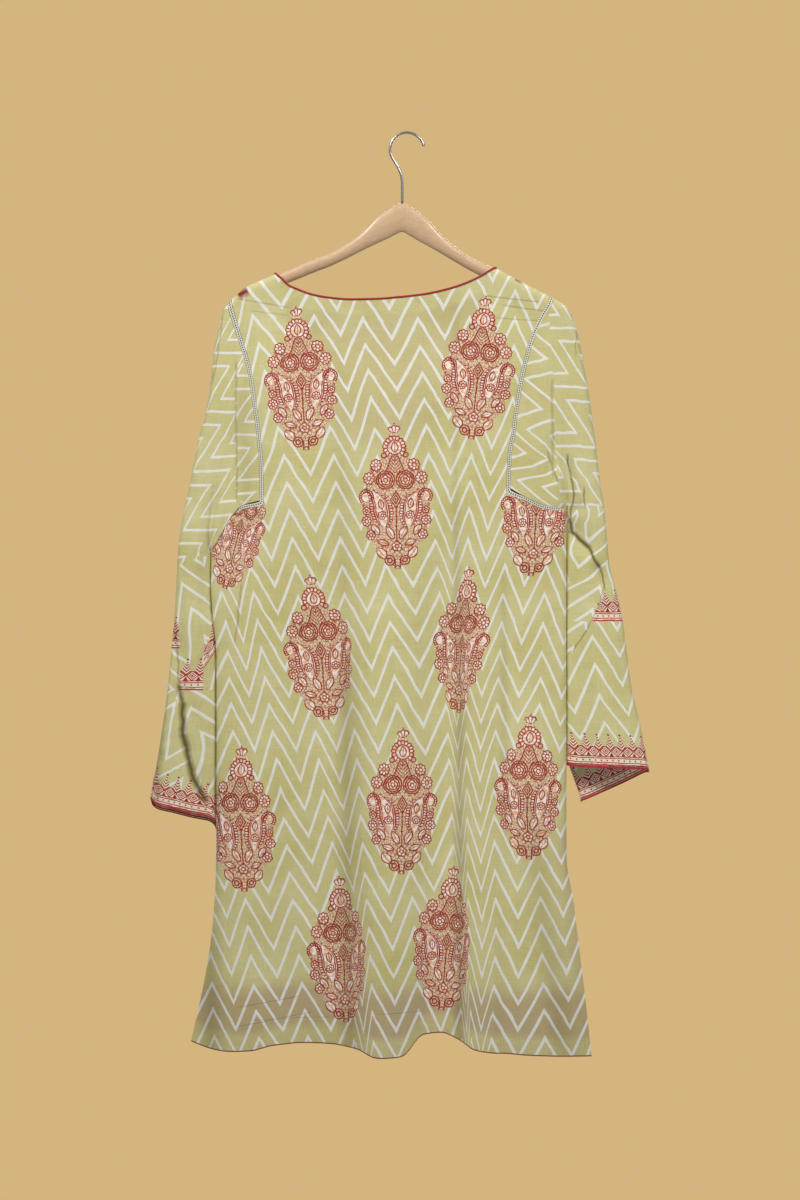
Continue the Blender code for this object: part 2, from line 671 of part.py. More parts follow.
def lace_path(side):
    """Along the lace: its edge on the body's side and its edge on the sleeve's side."""
    halves = {}
    for layer in (BACK, FRONT):
        path = []
        for row in range(1, UPPER_ROWS + 1):
            path.append([as_point(layer, seam_place(side, layer, row, reach))
                         for reach in (LACE_HALF, -LACE_HALF)])
        k = 1
        while has_lace(side, layer, k):
            path.append([step_point(side, layer, k, reach) for reach in (LACE_HALF, -LACE_HALF)])
            k += 1
        end = step_point(side, layer, k, 0)
        path.append([edge.lerp(end, LACE_TUCK) for edge in path[-1]])
        halves[layer] = path
    return halves[BACK][::-1] + halves[FRONT]


def make_lace():
    for side in (LEFT, RIGHT):
        path = lace_path(side)
        sheet("lace_" + side, 1, len(path) - 1, lambda c, r, path=path: path[r][c], "lace",
              wall=LACE_WALL)


def neck_path():
    """The neck piping's centre line, which lies just inside the neck edge all round."""
    reach = PIPING_RADIUS + SEAM
    first, last = SHOULDER_COLUMNS, SHOULDER_COLUMNS + NECK_COLUMNS
    path = []
    for layer, order in ((BACK, range(first, last + 1)), (FRONT, range(last, first - 1, -1))):
        edge = [centre_place(layer, column, 0) for column in order]
        for i in range(1, len(edge) - 1):
            across = edge[i + 1][0] - edge[i - 1][0]
            down = edge[i + 1][1] - edge[i - 1][1]
            length = math.copysign(math.hypot(across, down), across)
            x, drop, half_depth = edge[i]
            path.append(point(x + reach * down / length, half_depth, layer,
                              drop - reach * across / length))
        x, drop = edge[-1][:2]
        path.append(point(x, 0, layer, drop - reach - WALL / 2))
    return path


# ---- hanger -------------------------------------------------------------------------

def wood_point(column, row):
    """Round the wood's section, which is an ellipse, at one place along it."""
    right_half = [station[0] for station in HANGER]
    stations = [-across for across in right_half[:0:-1]] + right_half
    across = stations[row]
    fall = CREST_DROP + TILT * across
    top, bottom = (fall + read(HANGER, abs(across), k) for k in (1, 2))
    taper = mix(1, TIP_THICKNESS, smooth((abs(across) - TAPER_START) / (ARM_TIP - TAPER_START)))
    angle = 2 * math.pi * column / ARM_SIDES
    y = math.sin(angle) * ARM_HALF_THICKNESS * taper
    z = math.cos(angle) * (bottom - top) / 2 - (top + bottom) / 2
    return Vector((CREST_X + across, y, z)) * MM


def hook_path():
    """From the hook's open end over its crown and down its stem to the wood."""
    centre_drop = HOOK_ROUND - HOOK_WIRE
    path = []
    for k in range(HOOK_STEPS + 1):
        angle = math.radians(mix(HOOK_START, HOOK_END, k / HOOK_STEPS))
        path.append((HOOK_ROUND * math.cos(angle), centre_drop - HOOK_ROUND * math.sin(angle)))
    path += HOOK_STEM + [(CREST_X, CREST_DROP - SEAM)]
    return [point(x, 0, BACK, drop) for x, drop in path]


def make_hanger():
    sheet("hanger_wood", ARM_SIDES, 2 * (len(HANGER) - 1), wood_point, "wood", wall=0,
          close_ends=True)
    tube("hanger_hook", hook_path(), HOOK_WIRE, "steel")


for old in list(bpy.data.objects):
    bpy.data.objects.remove(old, do_unlink=True)
collection = bpy.data.collections.new("kurta_tunic")
bpy.context.scene.collection.children.link(collection)
make_body()
make_sleeves()
make_lace()
tube("neck_piping", neck_path(), PIPING_RADIUS, "trim", closed=True)
make_hanger()
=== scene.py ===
# %% [markdown]
# # A cotton kurta on a wooden hanger
# This lesson dresses a plain solid model of a hanging kurta tunic: thin cloth with soft folds,
# a block-printed pattern, lace in the armholes, bound cuffs and a turned wooden hanger.
# The packed solids are the frame. Every piece made here lies on one of them.

# %% Load the packed part
import math
from functools import partial

import bmesh
import bpy
import numpy as np
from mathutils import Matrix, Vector


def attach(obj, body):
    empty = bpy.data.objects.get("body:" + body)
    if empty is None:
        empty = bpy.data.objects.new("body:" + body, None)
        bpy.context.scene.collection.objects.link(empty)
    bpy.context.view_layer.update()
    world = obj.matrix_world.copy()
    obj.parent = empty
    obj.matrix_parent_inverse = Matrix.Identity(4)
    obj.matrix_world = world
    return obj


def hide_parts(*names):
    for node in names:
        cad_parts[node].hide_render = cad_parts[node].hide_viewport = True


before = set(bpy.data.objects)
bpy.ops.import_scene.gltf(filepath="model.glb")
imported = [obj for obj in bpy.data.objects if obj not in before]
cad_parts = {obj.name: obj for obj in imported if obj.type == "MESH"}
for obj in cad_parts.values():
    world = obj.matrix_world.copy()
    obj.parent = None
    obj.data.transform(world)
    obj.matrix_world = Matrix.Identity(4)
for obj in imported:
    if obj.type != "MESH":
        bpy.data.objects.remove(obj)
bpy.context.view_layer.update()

MM = 0.001

# %% [markdown]
# ## Camera, light and floor
# A hanging garment is seen straight on, from far enough away that its edges stay straight. Thin
# cotton shows its folds only as gentle changes of tone, so the light is soft and comes from all
# round: a key from the upper left, a weaker fill from the right, a wide lamp on the other side
# and a pale surround. Key and fill have a grid, which keeps their light near the middle, and a
# small lamp with a narrower grid lifts the turned cuff.

# %% Camera
IMAGE_HEIGHT, MM_PER_PIXEL = 1200, 1.25
MIDDLE_ACROSS, MIDDLE_DOWN = -7, 466     # pixels from the hook's crown to the image's middle
CAMERA_DISTANCE, SENSOR = 3.4, 36.0
camera_data = bpy.data.cameras.new("camera")
camera = bpy.data.objects.new("camera", camera_data)
bpy.context.scene.collection.objects.link(camera)
aim = Vector((MIDDLE_ACROSS * MM_PER_PIXEL, 0, -MIDDLE_DOWN * MM_PER_PIXEL)) * MM
camera.location = aim + Vector((0, -CAMERA_DISTANCE, 0))
camera.rotation_euler = (math.pi / 2, 0, 0)
camera_data.sensor_width = SENSOR
camera_data.lens = SENSOR * CAMERA_DISTANCE / (IMAGE_HEIGHT * MM_PER_PIXEL * MM)
bpy.context.scene.camera = camera
print("lens:", round(camera_data.lens, 1), "mm")


# %% Lights
GRID, NARROW_GRID = math.radians(60), math.radians(26)
CUFF_AIM = Vector((0.25, 0, -0.79))
WARM, PALE = (1.0, 0.985, 0.96), (1.0, 0.99, 0.97)


def area_light(name, place, size, watts, colour, spread=math.pi, target=aim):
    data = bpy.data.lights.new(name, "AREA")
    data.shape = "DISK"
    data.size = size
    data.energy = watts
    data.color = colour
    data.spread = spread
    light = bpy.data.objects.new(name, data)
    bpy.context.scene.collection.objects.link(light)
    light.location = place
    light.rotation_euler = (target - Vector(place)).to_track_quat("-Z", "Y").to_euler()


area_light("key", (-1.5, -1.6, 1.4), 0.8, 6.35, WARM, GRID)
area_light("fill", (1.6, -1.7, 1.35), 0.9, 5.55, PALE, GRID)
area_light("behind", (0.6, 2.8, 0.7), 2.0, 62, WARM)
area_light("low", (0.7, -1.5, -1.25), 0.5, 0.075, WARM, NARROW_GRID, CUFF_AIM)
print("lamps:", len(bpy.data.lights))

# %% Surround and floor
# A tan surround for the camera to see, and an even pale one for the light
world = bpy.data.worlds.new("surround")
bpy.context.scene.world = world
world.use_nodes = True
tree = world.node_tree
SEEN, AROUND, AROUND_STRENGTH = (0.658, 0.462, 0.212, 1), (0.97, 0.97, 0.95, 1), 0.24
seen = tree.nodes["Background"]
seen.inputs["Color"].default_value = SEEN
around = tree.nodes.new("ShaderNodeBackground")
around.inputs["Color"].default_value = AROUND
around.inputs["Strength"].default_value = AROUND_STRENGTH
rays, both = tree.nodes.new("ShaderNodeLightPath"), tree.nodes.new("ShaderNodeMixShader")
tree.links.new(rays.outputs["Is Camera Ray"], both.inputs[0])
tree.links.new(around.outputs[0], both.inputs[1])
tree.links.new(seen.outputs[0], both.inputs[2])
tree.links.new(both.outputs[0], tree.nodes["World Output"].inputs[0])
bpy.context.scene.view_settings.view_transform = "Standard"


def link_bmesh(name, bm):
    """A finished bmesh as an object of the scene."""
    mesh = bpy.data.meshes.new(name)
    bm.to_mesh(mesh)
    bm.free()
    made = bpy.data.objects.new(name, mesh)
    bpy.context.scene.collection.objects.link(made)
    return made


FLOOR_DROP, FLOOR_RADIUS, FLOOR_SIDES = 1.75, 1.6, 96
bm = bmesh.new()
bmesh.ops.create_circle(bm, cap_ends=True, segments=FLOOR_SIDES, radius=FLOOR_RADIUS)
bmesh.ops.translate(bm, verts=bm.verts, vec=(0, 0, -FLOOR_DROP))
floor = link_bmesh("floor", bm)
print("floor at", -FLOOR_DROP, "m")

# %% [markdown]
# ## Shader maths
# A print is a drawing made of sums, so a small class lets Python's own + - * and / add the Math
# nodes. Everything else comes from one method that takes a node's type, settings and inputs.


# %% The value class
def math_step(operation):
    """A method of Value that adds one Math node."""
    return lambda value, *others: value.math(operation, *others)


class Value:
    """A number that varies over a surface."""

    def __init__(self, finish, socket):
        self.finish, self.socket = finish, socket

    def math(self, operation, *others, clamp=False):
        settings = {"operation": operation, "use_clamp": clamp}
        node = self.finish.node("Math", settings, dict(enumerate((self, *others))))
        return Value(self.finish, node.outputs[0])

    __add__ = __radd__ = math_step("ADD")
    __sub__, __truediv__ = math_step("SUBTRACT"), math_step("DIVIDE")
    __mul__ = both = math_step("MULTIPLY")
    size, either = math_step("ABSOLUTE"), math_step("MAXIMUM")
    below, above = math_step("LESS_THAN"), math_step("GREATER_THAN")
    near = math_step("COMPARE")          # 1 within a reach of another value, else 0

    def __rsub__(self, other):
        return self.math("MULTIPLY_ADD", -1, other)

    def zigzag(self, period):
        """A triangle wave that rises from 0 to half the period and falls back."""
        return self.math("PINGPONG", period / 2)

    def repeat(self, period):
        return self.math("WRAP", period, 0)

    def soft(self, centre, width):
        """1 well below a centre, 0 well above it, with a soft edge."""
        return self.math("MULTIPLY_ADD", -1 / width, 0.5 + centre / width, clamp=True)


print("a value's steps:", ", ".join(name for name in vars(Value) if name[0] != "_"))


# %% The finish class
class Finish:
    """A material that is being built on one Principled BSDF."""

    def __init__(self, name, colour, roughness):
        self.material = bpy.data.materials.new(name)
        self.material.use_nodes = True
        self.tree = self.material.node_tree
        self.shader = self.tree.nodes["Principled BSDF"]
        self.shader.inputs["Base Color"].default_value = (*colour, 1)
        self.shader.inputs["Roughness"].default_value = roughness

    def node(self, kind, settings=None, inputs=None):
        made = self.tree.nodes.new("ShaderNode" + kind)
        for key, value in (settings or {}).items():
            if key == "stops":
                ramp = made.color_ramp
                while len(ramp.elements) < len(value):
                    ramp.elements.new(1)
                for element, (place, shade) in zip(ramp.elements, value):
                    element.position = place
                    element.color = (shade, shade, shade, 1) if isinstance(shade, float) else shade
            else:
                setattr(made, key, value)
        for key, value in (inputs or {}).items():
            socket = made.inputs[key]
            source = value.socket if isinstance(value, Value) else value
            if isinstance(source, bpy.types.NodeSocket):
                self.tree.links.new(source, socket)
            else:
                socket.default_value = source
        return made

    def value(self, node, output=0):
        return Value(self, node.outputs[output])

    def millimetres(self, place):
        """The three coordinates of a place in metres, as values in millimetres."""
        scaled = self.node("VectorMath", {"operation": "SCALE"}, {0: place, "Scale": 1 / MM})
        parts = self.node("SeparateXYZ", None, {0: scaled.outputs[0]})
        return [self.value(parts, k) for k in range(3)]

    def plane(self, uv_name):
        """A UV map's two coordinates."""
        return self.millimetres(self.node("UVMap", {"uv_map": uv_name}).outputs[0])[:2]

    def own_place(self):
        """The piece's own x, depth and height."""
        return self.millimetres(self.node("TexCoord").outputs["Object"])

    def vector(self, x, y, z=0.0):
        return self.node("CombineXYZ", None, {0: x, 1: y, 2: z}).outputs[0]

    def distance(self, spot, centre):
        node = self.node("VectorMath", {"operation": "DISTANCE"}, {0: spot, 1: (*centre, 0)})
        return self.value(node, "Value")

    def noise(self, spot, scale, detail):
        node = self.node("TexNoise", {"noise_dimensions": "3D"}, {
            "Vector": spot, "Scale": scale, "Detail": detail})
        return self.value(node, 0)

    def mix(self, share, first, second):
        """One colour over another; each is a colour or a socket."""
        node = self.node("Mix", {"data_type": "RGBA"}, {0: share, 6: first, 7: second})
        return node.outputs[2]

    def set(self, name, source):
        self.tree.links.new(source.socket if isinstance(source, Value) else source,
                            self.shader.inputs[name])

    def bump(self, height, distance, strength):
        node = self.node("Bump", None, {"Height": height, "Distance": distance,
                                        "Strength": strength})
        self.set("Normal", node.outputs[0])


def linear(red, green, blue):
    """A colour as given on a screen, as the shader wants it."""
    return tuple(((c / 255 + 0.055) / 1.055) ** 2.4 if c > 10 else c / 255 / 12.92
                 for c in (red, green, blue))


print("shader helpers ready")

# %% [markdown]
# ## The garment's form
# The solids under this lesson are walls worked out from a few tables: where the side edges, the
# armhole seams, the necklines and the hems run. The cloth made here has to lie on the same form,
# so the same tables come first. Every place is x and drop, in millimetres, from the inside of
# the hook's crown, with a half depth from the hanger's plane. The back of the garment is at -Y.

# %% Sizes of the garment
BACK, FRONT = -1, 1
LEFT, RIGHT = "left", "right"
SEAM, TURN = 0.3, 1.2               # gap between pieces, flat edge of a turned seam
FOLD_ROUND, SIDE_ROUND = 8.0, 10.0  # roundness of ridge and sleeve folds, and of side edges
ARC_IN, ARC_OUT = 0.29, 0.71        # halfway round a quarter circle
# the hanger: middle and top of its crest, lean of its arms, reach of an arm, cloth above it
CREST_X, CREST_DROP, TILT, ARM_TIP, CLOTH_OVER_WOOD = -6.0, 86.5, 0.045, 178, 0.95
SLIT_TOP, SLIT_BLEND, SLIT_INSET = 872, 40, 18
NECK_FRONT_DEPTH, NECK_KEEP, NECK_OVER_ARM, NECK_DEPTH, NECK_FILL = 215, 0.65, 6, 13, 60
LEVEL_END, EASE = 1100, 140         # last level row, and how far the shoulder's depth eases out
ELBOW, ELBOW_GAP = {LEFT: 695, RIGHT: 609}, 0.06
UNDER_ARM_DEPTH, UNDER_ARM_SPREAD, GROOVE = 4.0, 0.9, 70
EDGE_DEPTH = TURN + SIDE_ROUND
LACE_HALF, LACE_TUCK, LACE_GAP, PLAIN_GAP = 1.9, 0.6, 2.4, 0.5
BINDING_WIDTH, CUFF_GAP, CUFF_TURN_HEIGHT = 3.0, 1.0, 60
print("half depth of a turned side edge:", EDGE_DEPTH, "mm")

# %% Tables of the edges and seams
# Across the hanger, top and underside of its wood below the crest
HANGER = [
    (0, 0.0, 36), (9, 2.5, 40), (18, 8.5, 45), (32, 19, 52), (49, 37, 61), (67, 52, 71),
    (88, 65, 82), (111, 75, 92), (142, 89.6, 106), (164, 99.9, 116), (172, 104, 119),
    (ARM_TIP, 110, 116),
]
# Drop, left edge, right edge
BODY_SIDE = [
    (468, -245, 199), (522, -245, 199), (582, -245, 199), (632, -238, 199), (868, -238, 199),
    (912, -239, 206), (972, -244, 214), (1032, -254, 222), (1100, -269, 230), (1150, -277, 236),
]
SLEEVE_OUTER = [
    (223, -231, 206), (252, -238, 214), (298, -244, 223), (342, -250, 230), (388, -262, 236),
    (432, -270, 241), (478, -280, 248), (522, -286, 251), (560, -288, 257), (582, -289, 265),
    (642, -294, 274), (695, -299, 281), (732, -304, 290), (778, -311, 299), (840, -321, 309),
]
SLEEVE_INNER = [(467, -249, 201.4), (582, -249, 201.4), (632, -243, 201.4), (840, -243, 201.4)]
# Drop, half depth in the middle
BODY_DEPTH = [(165, 13), (300, 20), (460, 24), (700, 26), (900, 28), (1150, 33)]
# Drop, x of the armhole seam
ARMHOLE = {
    LEFT: [(210, -221), (240, -213.5), (270, -204), (302, -195), (338, -190), (374, -185),
           (428, -181), (461, -181)],
    RIGHT: [(204.5, 180), (229, 168), (262, 154), (288, 147), (315, 141), (346, 136), (384, 131),
            (403, 127.5), (446, 126)],
}
# x, drop of the under-arm step, and whether the back has lace there
STEP = {
    LEFT: [(-181, 461, True), (-204, 467, True), (-218, 478, False), (-235, 507, False),
           (-242, 518, False), (-245, 522, False)],
    RIGHT: [(126, 446, True), (146, 456, True), (168, 466, True), (189, 469, True),
            (196, 468, True), (199, 467.5, True)],
}
# x, drop of the back neckline
NECK_BACK = [
    (-165, 176), (-162.5, 178.5), (-157, 183), (-149, 191), (-136, 197), (-120, 203),
    (-100, 207), (-70, 209.5), (-40, 209), (-8, 206.5), (22, 203), (48, 197.5), (70, 190.5),
    (87, 183), (97, 177.5), (103, 173.6), (108.5, 170.3), (111, 168.6),
]
# x, drop of the shoulder beyond the hanger
SHOULDER_END = {
    LEFT: [(-231, 222), (-226, 215), (-221, 210), (-216, 203), (-209, 196), (-199, 190.5),
           (-184, 184), (-170, 178)],
    RIGHT: [(158, 192.8), (168, 198), (178, 203.3), (184, 207), (192, 211.5), (199, 216),
            (206, 224)],
}
# x, drop of the hems
HEM = {
    BACK: [
        (-277, 1130), (-255, 1136), (-225, 1142), (-196, 1141), (-166, 1134), (-126, 1131),
        (-86, 1132), (-66, 1136), (-52, 1147), (-20, 1148), (4, 1142), (16, 1122), (34, 1117),
        (60, 1124), (78, 1138), (104, 1143), (170, 1147), (236, 1150),
    ],
    FRONT: [
        (-277, 1060), (-210, 1066), (-130, 1058), (-40, 1068), (30, 1062), (110, 1070),
        (236, 1066),
    ],
}
# Drops of the cuff's edge at the inner and outer fold, and how far its inner corner is turned
CUFF = {
    (LEFT, BACK): (866, 829, 0), (LEFT, FRONT): (873, 836, 0),
    (RIGHT, BACK): (789, 797, 0), (RIGHT, FRONT): (836, 799, 18),
}
NECK_COLUMNS, SHOULDER_COLUMNS, BEYOND = len(NECK_BACK) - 1, 3, 6
CENTRE_COLUMNS = NECK_COLUMNS + 2 * SHOULDER_COLUMNS
UPPER_ROWS, LOWER_ROWS, CUFF_ROWS, TUBE_COLUMNS = 13, 14, 7, 8
ELBOW_ROWS = {LEFT: 5, RIGHT: 4}
print("garment tables:", len(BODY_SIDE) + len(SLEEVE_OUTER) + len(NECK_BACK), "rows")


# %% Reading the tables
def mix(a, b, t):
    return a + (b - a) * t


def smooth(t):
    """Soft step from 0 to 1, for a number or an array."""
    t = np.clip(t, 0.0, 1.0)
    return t * t * (3 - 2 * t)


def read(table, key, column=1):
    """Value of a column at a key, on a smooth curve through the table's rows."""
    rows = sorted(table)
    if key <= rows[0][0]:
        return rows[0][column]
    if key >= rows[-1][0]:
        return rows[-1][column]
    i = max(k for k in range(len(rows) - 1) if rows[k][0] <= key)

    def slope(k):
        if k in (0, len(rows) - 1):
            return 0.0 if len(rows) > 2 else (rows[1][column] - rows[0][column]) / (
                rows[1][0] - rows[0][0])
        before = (rows[k][column] - rows[k - 1][column]) / (rows[k][0] - rows[k - 1][0])
        after = (rows[k + 1][column] - rows[k][column]) / (rows[k + 1][0] - rows[k][0])
        return 0.0 if before * after <= 0 else 2 * before * after / (before + after)

    span = rows[i + 1][0] - rows[i][0]
    t = (key - rows[i][0]) / span
    value = mix(rows[i][column], rows[i + 1][column], t * t * (3 - 2 * t))
    return value + span * (t * (1 - t) ** 2 * slope(i) - t * t * (1 - t) * slope(i + 1))


def quarter(t):
    """Rise of a quarter circle, 0 to 1, over a run of 0 to 1."""
    return math.sqrt(1 - (1 - min(max(t, 0.0), 1.0)) ** 2)


def column_of(side):
    return 1 if side == LEFT else 2


def outward(side):
    return -1 if side == LEFT else 1


print("half depth of the body at its waist:", round(read(BODY_DEPTH, 560), 1), "mm")


# %% Ridge and side edges
def arm_top(x):
    across = x - CREST_X
    return CREST_DROP + read(HANGER, abs(across), 1) + TILT * across


def ridge(x):
    """Drop of the shoulder ridge, which rests on the hanger's arms."""
    if x <= SHOULDER_END[LEFT][-1][0]:
        return read(SHOULDER_END[LEFT], x)
    if x >= SHOULDER_END[RIGHT][0][0]:
        return read(SHOULDER_END[RIGHT], x)
    return arm_top(x) - CLOTH_OVER_WOOD


def side_edge(side, drop):
    return read(BODY_SIDE, drop, column_of(side))


def crown(x, drop):
    """Half depth of the hanging cloth away from its edges."""
    left, right = side_edge(LEFT, drop), side_edge(RIGHT, drop)
    s = (2 * x - left - right) / (right - left)
    return max(EDGE_DEPTH + (read(BODY_DEPTH, drop) - EDGE_DEPTH) * (1 - s * s), FOLD_ROUND)


def below_ridge(start, x, drop, below):
    return mix(start, crown(x, drop), smooth(below / EASE))


print("ridge at the crest:", round(ridge(CREST_X), 1), "mm below the hook's crown")

# %% Armhole seams and the under-arm step
FIRST_ROWS = {
    "shoulder": (0, 0, ARC_IN * FOLD_ROUND, FOLD_ROUND),
    "neck": (0, 0.15 * FOLD_ROUND, 0.4 * FOLD_ROUND, FOLD_ROUND),
}


def ridge_depth(row):
    return (SEAM / 2, TURN, TURN + ARC_OUT * FOLD_ROUND, TURN + FOLD_ROUND)[min(row, 3)]


def seam_drops(side):
    top, corner = ARMHOLE[side][0][0], ARMHOLE[side][-1][0]
    drops = [top + first for first in FIRST_ROWS["shoulder"]]
    left_over = UPPER_ROWS - 3
    return drops + [mix(drops[3], corner, (k + 1) / left_over) for k in range(left_over)]


def seam_place(side, row, reach):
    """At a reach from the armhole seam towards the body: x, drop, half depth."""
    top_drop, top_x = ARMHOLE[side][0]
    drop = seam_drops(side)[row]
    x = read(ARMHOLE[side], drop) - outward(side) * reach
    half_depth = below_ridge(ridge_depth(row), x, drop, drop - top_drop)
    near_top = min(max((6 - row) / 3, 0), 1)
    drop += near_top * (ridge(top_x - outward(side) * reach) - top_drop)
    return x, drop + (reach if row == UPPER_ROWS else 0), half_depth


def has_lace(side, layer, k):
    return k < BEYOND - 2 and (layer == FRONT or STEP[side][k][2])


def step_gap(side, layer, k):
    return LACE_GAP if has_lace(side, layer, k) else PLAIN_GAP


def step_place(side, k, reach):
    """Beside the under-arm step, towards the body if the reach is positive."""
    rows = STEP[side]
    k_in, k_out = max(k - 1, 0), min(k + 1, BEYOND - 1)
    across, down = rows[k_out][0] - rows[k_in][0], rows[k_out][1] - rows[k_in][1]
    length = math.copysign(math.hypot(across, down), across)
    x, drop = rows[k][:2]
    return x - reach * down / length, drop + reach * across / length


def step_depth(side, k):
    x, drop = STEP[side][min(k, BEYOND - 1)][:2]
    turned = {3: EDGE_DEPTH, 4: TURN + ARC_OUT * SIDE_ROUND, 5: TURN, 6: SEAM / 2}
    return turned[k] if k in turned else crown(x, drop)


print("left under-arm corner:", [round(float(c), 1) for c in seam_place(LEFT, UPPER_ROWS, 0)])

# %% [markdown]
# ## Body panels
# A panel is a grid of control points: rows run from the shoulder or neckline down to the hem,
# columns from one side edge to the other. Above the under-arm step the columns beyond the
# armhole belong to the sleeve, so the panel has none there. The fourth number of each point
# says how freely the cloth may fold at it: not at all along a seam or a turned edge.


# %% Necklines and the top edge
NECK_FALL, SCOOP_WIDE, SCOOP_ROUND = 0.8, 2.6, 0.8


def neck_front_drop(x):
    """Drop of the front neckline, a deep scoop that starts at the ends of the back's."""
    ends = NECK_BACK[0], NECK_BACK[-1]
    across = (x - ends[0][0]) / (ends[1][0] - ends[0][0])
    inside = min(x - ends[0][0], ends[1][0] - x)
    level = mix(ends[0][1], ends[1][1], across) + NECK_FALL * min(inside, NECK_OVER_ARM)
    scoop = (1 - abs(2 * across - 1) ** SCOOP_WIDE) ** SCOOP_ROUND if inside > 0 else 0
    return level + NECK_FRONT_DEPTH * scoop * smooth((inside - 1) / (4 * NECK_OVER_ARM))


def neck_depth(x_top, x, drop):
    inside = min(x_top - NECK_BACK[0][0], NECK_BACK[-1][0] - x_top)
    over_arm = TURN + FOLD_ROUND * quarter((drop - ridge(x)) / FOLD_ROUND)
    return mix(over_arm, NECK_DEPTH, smooth((inside - NECK_OVER_ARM) / NECK_FILL))


def make_top_edge():
    """The body's top edge: x, back drop, front drop, and which part of the edge it is."""
    ends = {LEFT: NECK_BACK[0][0], RIGHT: NECK_BACK[-1][0]}

    def on_shoulder(x):
        return x, ridge(x), ridge(x), "shoulder"

    def shoulder(side):
        seam = ARMHOLE[side][0][1] - outward(side) * LACE_GAP
        return [on_shoulder(mix(seam, ends[side], k / SHOULDER_COLUMNS))
                for k in range(SHOULDER_COLUMNS)]

    neck = [on_shoulder(x) if x in ends.values() else (x, drop, neck_front_drop(x), "neck")
            for x, drop in NECK_BACK]
    return shoulder(LEFT) + neck + shoulder(RIGHT)[::-1]


TOP_EDGE = make_top_edge()
print("top edge columns:", len(TOP_EDGE))


# %% Side edges and slits
def slit_blend(drop):
    return smooth((drop - SLIT_TOP) / SLIT_BLEND)


def panel_edge(side, layer, drop):
    inset = SLIT_INSET * slit_blend(drop) if layer == FRONT else 0
    return side_edge(side, drop) - outward(side) * inset


def side_offsets(drop):
    """Distance in from the side edge, and half depth, of the columns that turn the edge."""
    g = slit_blend(drop)
    turned = ((0, SEAM / 2), (0, TURN), (ARC_IN * SIDE_ROUND, TURN + ARC_OUT * SIDE_ROUND),
              (SIDE_ROUND, EDGE_DEPTH))
    hanging = ((0, EDGE_DEPTH - 3), (1.5, EDGE_DEPTH - 2.7), (4.5, EDGE_DEPTH - 1.8),
               (SIDE_ROUND, EDGE_DEPTH))
    return [(mix(a, c, g), mix(b, d, g)) for (a, b), (c, d) in zip(turned, hanging)]


print("width of the front at the hem:", round(
    panel_edge(RIGHT, FRONT, LEVEL_END) - panel_edge(LEFT, FRONT, LEVEL_END), 1), "mm")


# %% Places between the armholes
def centre_place(layer, column, row):
    """Between the two armholes and straight below: x, drop, half depth, freedom."""
    x_top, back_drop, front_drop, part = TOP_EDGE[column]
    drop_top = back_drop if layer == BACK else front_drop
    across = column / CENTRE_COLUMNS
    corner = [STEP[side][0] for side in (LEFT, RIGHT)]
    drop_step = mix(corner[0][1], corner[1][1], across) + LACE_GAP
    x_even = mix(corner[0][0] + LACE_GAP, corner[1][0] - LACE_GAP, across)
    in_shoulder = min(min(column, CENTRE_COLUMNS - column) / SHOULDER_COLUMNS, 1)
    x_step = mix(x_even, x_top, NECK_KEEP * in_shoulder)
    if row > UPPER_ROWS:
        edges = [side_edge(side, drop_step) for side in (LEFT, RIGHT)]
        f = (x_step - edges[0]) / (edges[1] - edges[0])
        u = (row - UPPER_ROWS) / LOWER_ROWS
        level = mix(drop_step, LEVEL_END, u)
        x = mix(panel_edge(LEFT, layer, level), panel_edge(RIGHT, layer, level), f)
        drop = mix(drop_step, read(HEM[layer], x), u)
        return x, drop, crown(x, drop), 1
    left, right = seam_place(LEFT, row, LACE_GAP), seam_place(RIGHT, row, LACE_GAP)
    if column in (0, CENTRE_COLUMNS):
        return (*(right if column else left), 0)
    first = FIRST_ROWS[part]
    below = first[row] if row < 4 else mix(
        first[3], drop_step - drop_top, (row - 3) / (UPPER_ROWS - 3))
    f_top = (x_top - TOP_EDGE[0][0]) / (TOP_EDGE[-1][0] - TOP_EDGE[0][0])
    t = smooth(below / (drop_step - drop_top))
    f_step = (x_step - corner[0][0] - LACE_GAP) / (corner[1][0] - corner[0][0] - 2 * LACE_GAP)
    beside_seam = mix(left[0], right[0], mix(f_top, f_step, t))
    x = mix(beside_seam, mix(x_top, x_step, t), in_shoulder)
    drop = drop_top + below
    start = ridge_depth(row) if part == "shoulder" else neck_depth(x_top, x, drop)
    return x, drop, below_ridge(start, x, drop, below), smooth(below / 20)


print("left end of the neck:", [round(float(c), 1) for c in centre_place(BACK, 3, 0)])


# %% Places under the arms, and the whole panel
def under_arm_place(layer, side, beyond, row):
    """Beyond the armhole's corner, out to the turned side edge."""
    k = min(beyond, BEYOND - 1)
    step_x, step_drop = step_place(side, k, step_gap(side, layer, k))
    if row == UPPER_ROWS:
        return step_x, step_drop, step_depth(side, beyond), 0
    u = (row - UPPER_ROWS) / LOWER_ROWS
    level = mix(step_drop, LEVEL_END, u)
    edge = panel_edge(side, layer, level)
    turning = BEYOND - beyond
    if turning > 3:
        corner_x = STEP[side][0][0]
        f = (step_x - corner_x) / (STEP[side][3][0] - corner_x)
        inner_x = centre_place(layer, 0 if side == LEFT else CENTRE_COLUMNS, row)[0]
        x = mix(inner_x, edge - outward(side) * SIDE_ROUND, f)
        drop = mix(step_drop, read(HEM[layer], x), u)
        return x, drop, crown(x, drop), 1
    off, half_depth = side_offsets(level)[turning]
    x = edge - outward(side) * off
    drop = mix(step_drop, read(HEM[layer], x), u)
    return x, drop, half_depth, (slit_blend(drop) if turning < 3 else 1) / 2


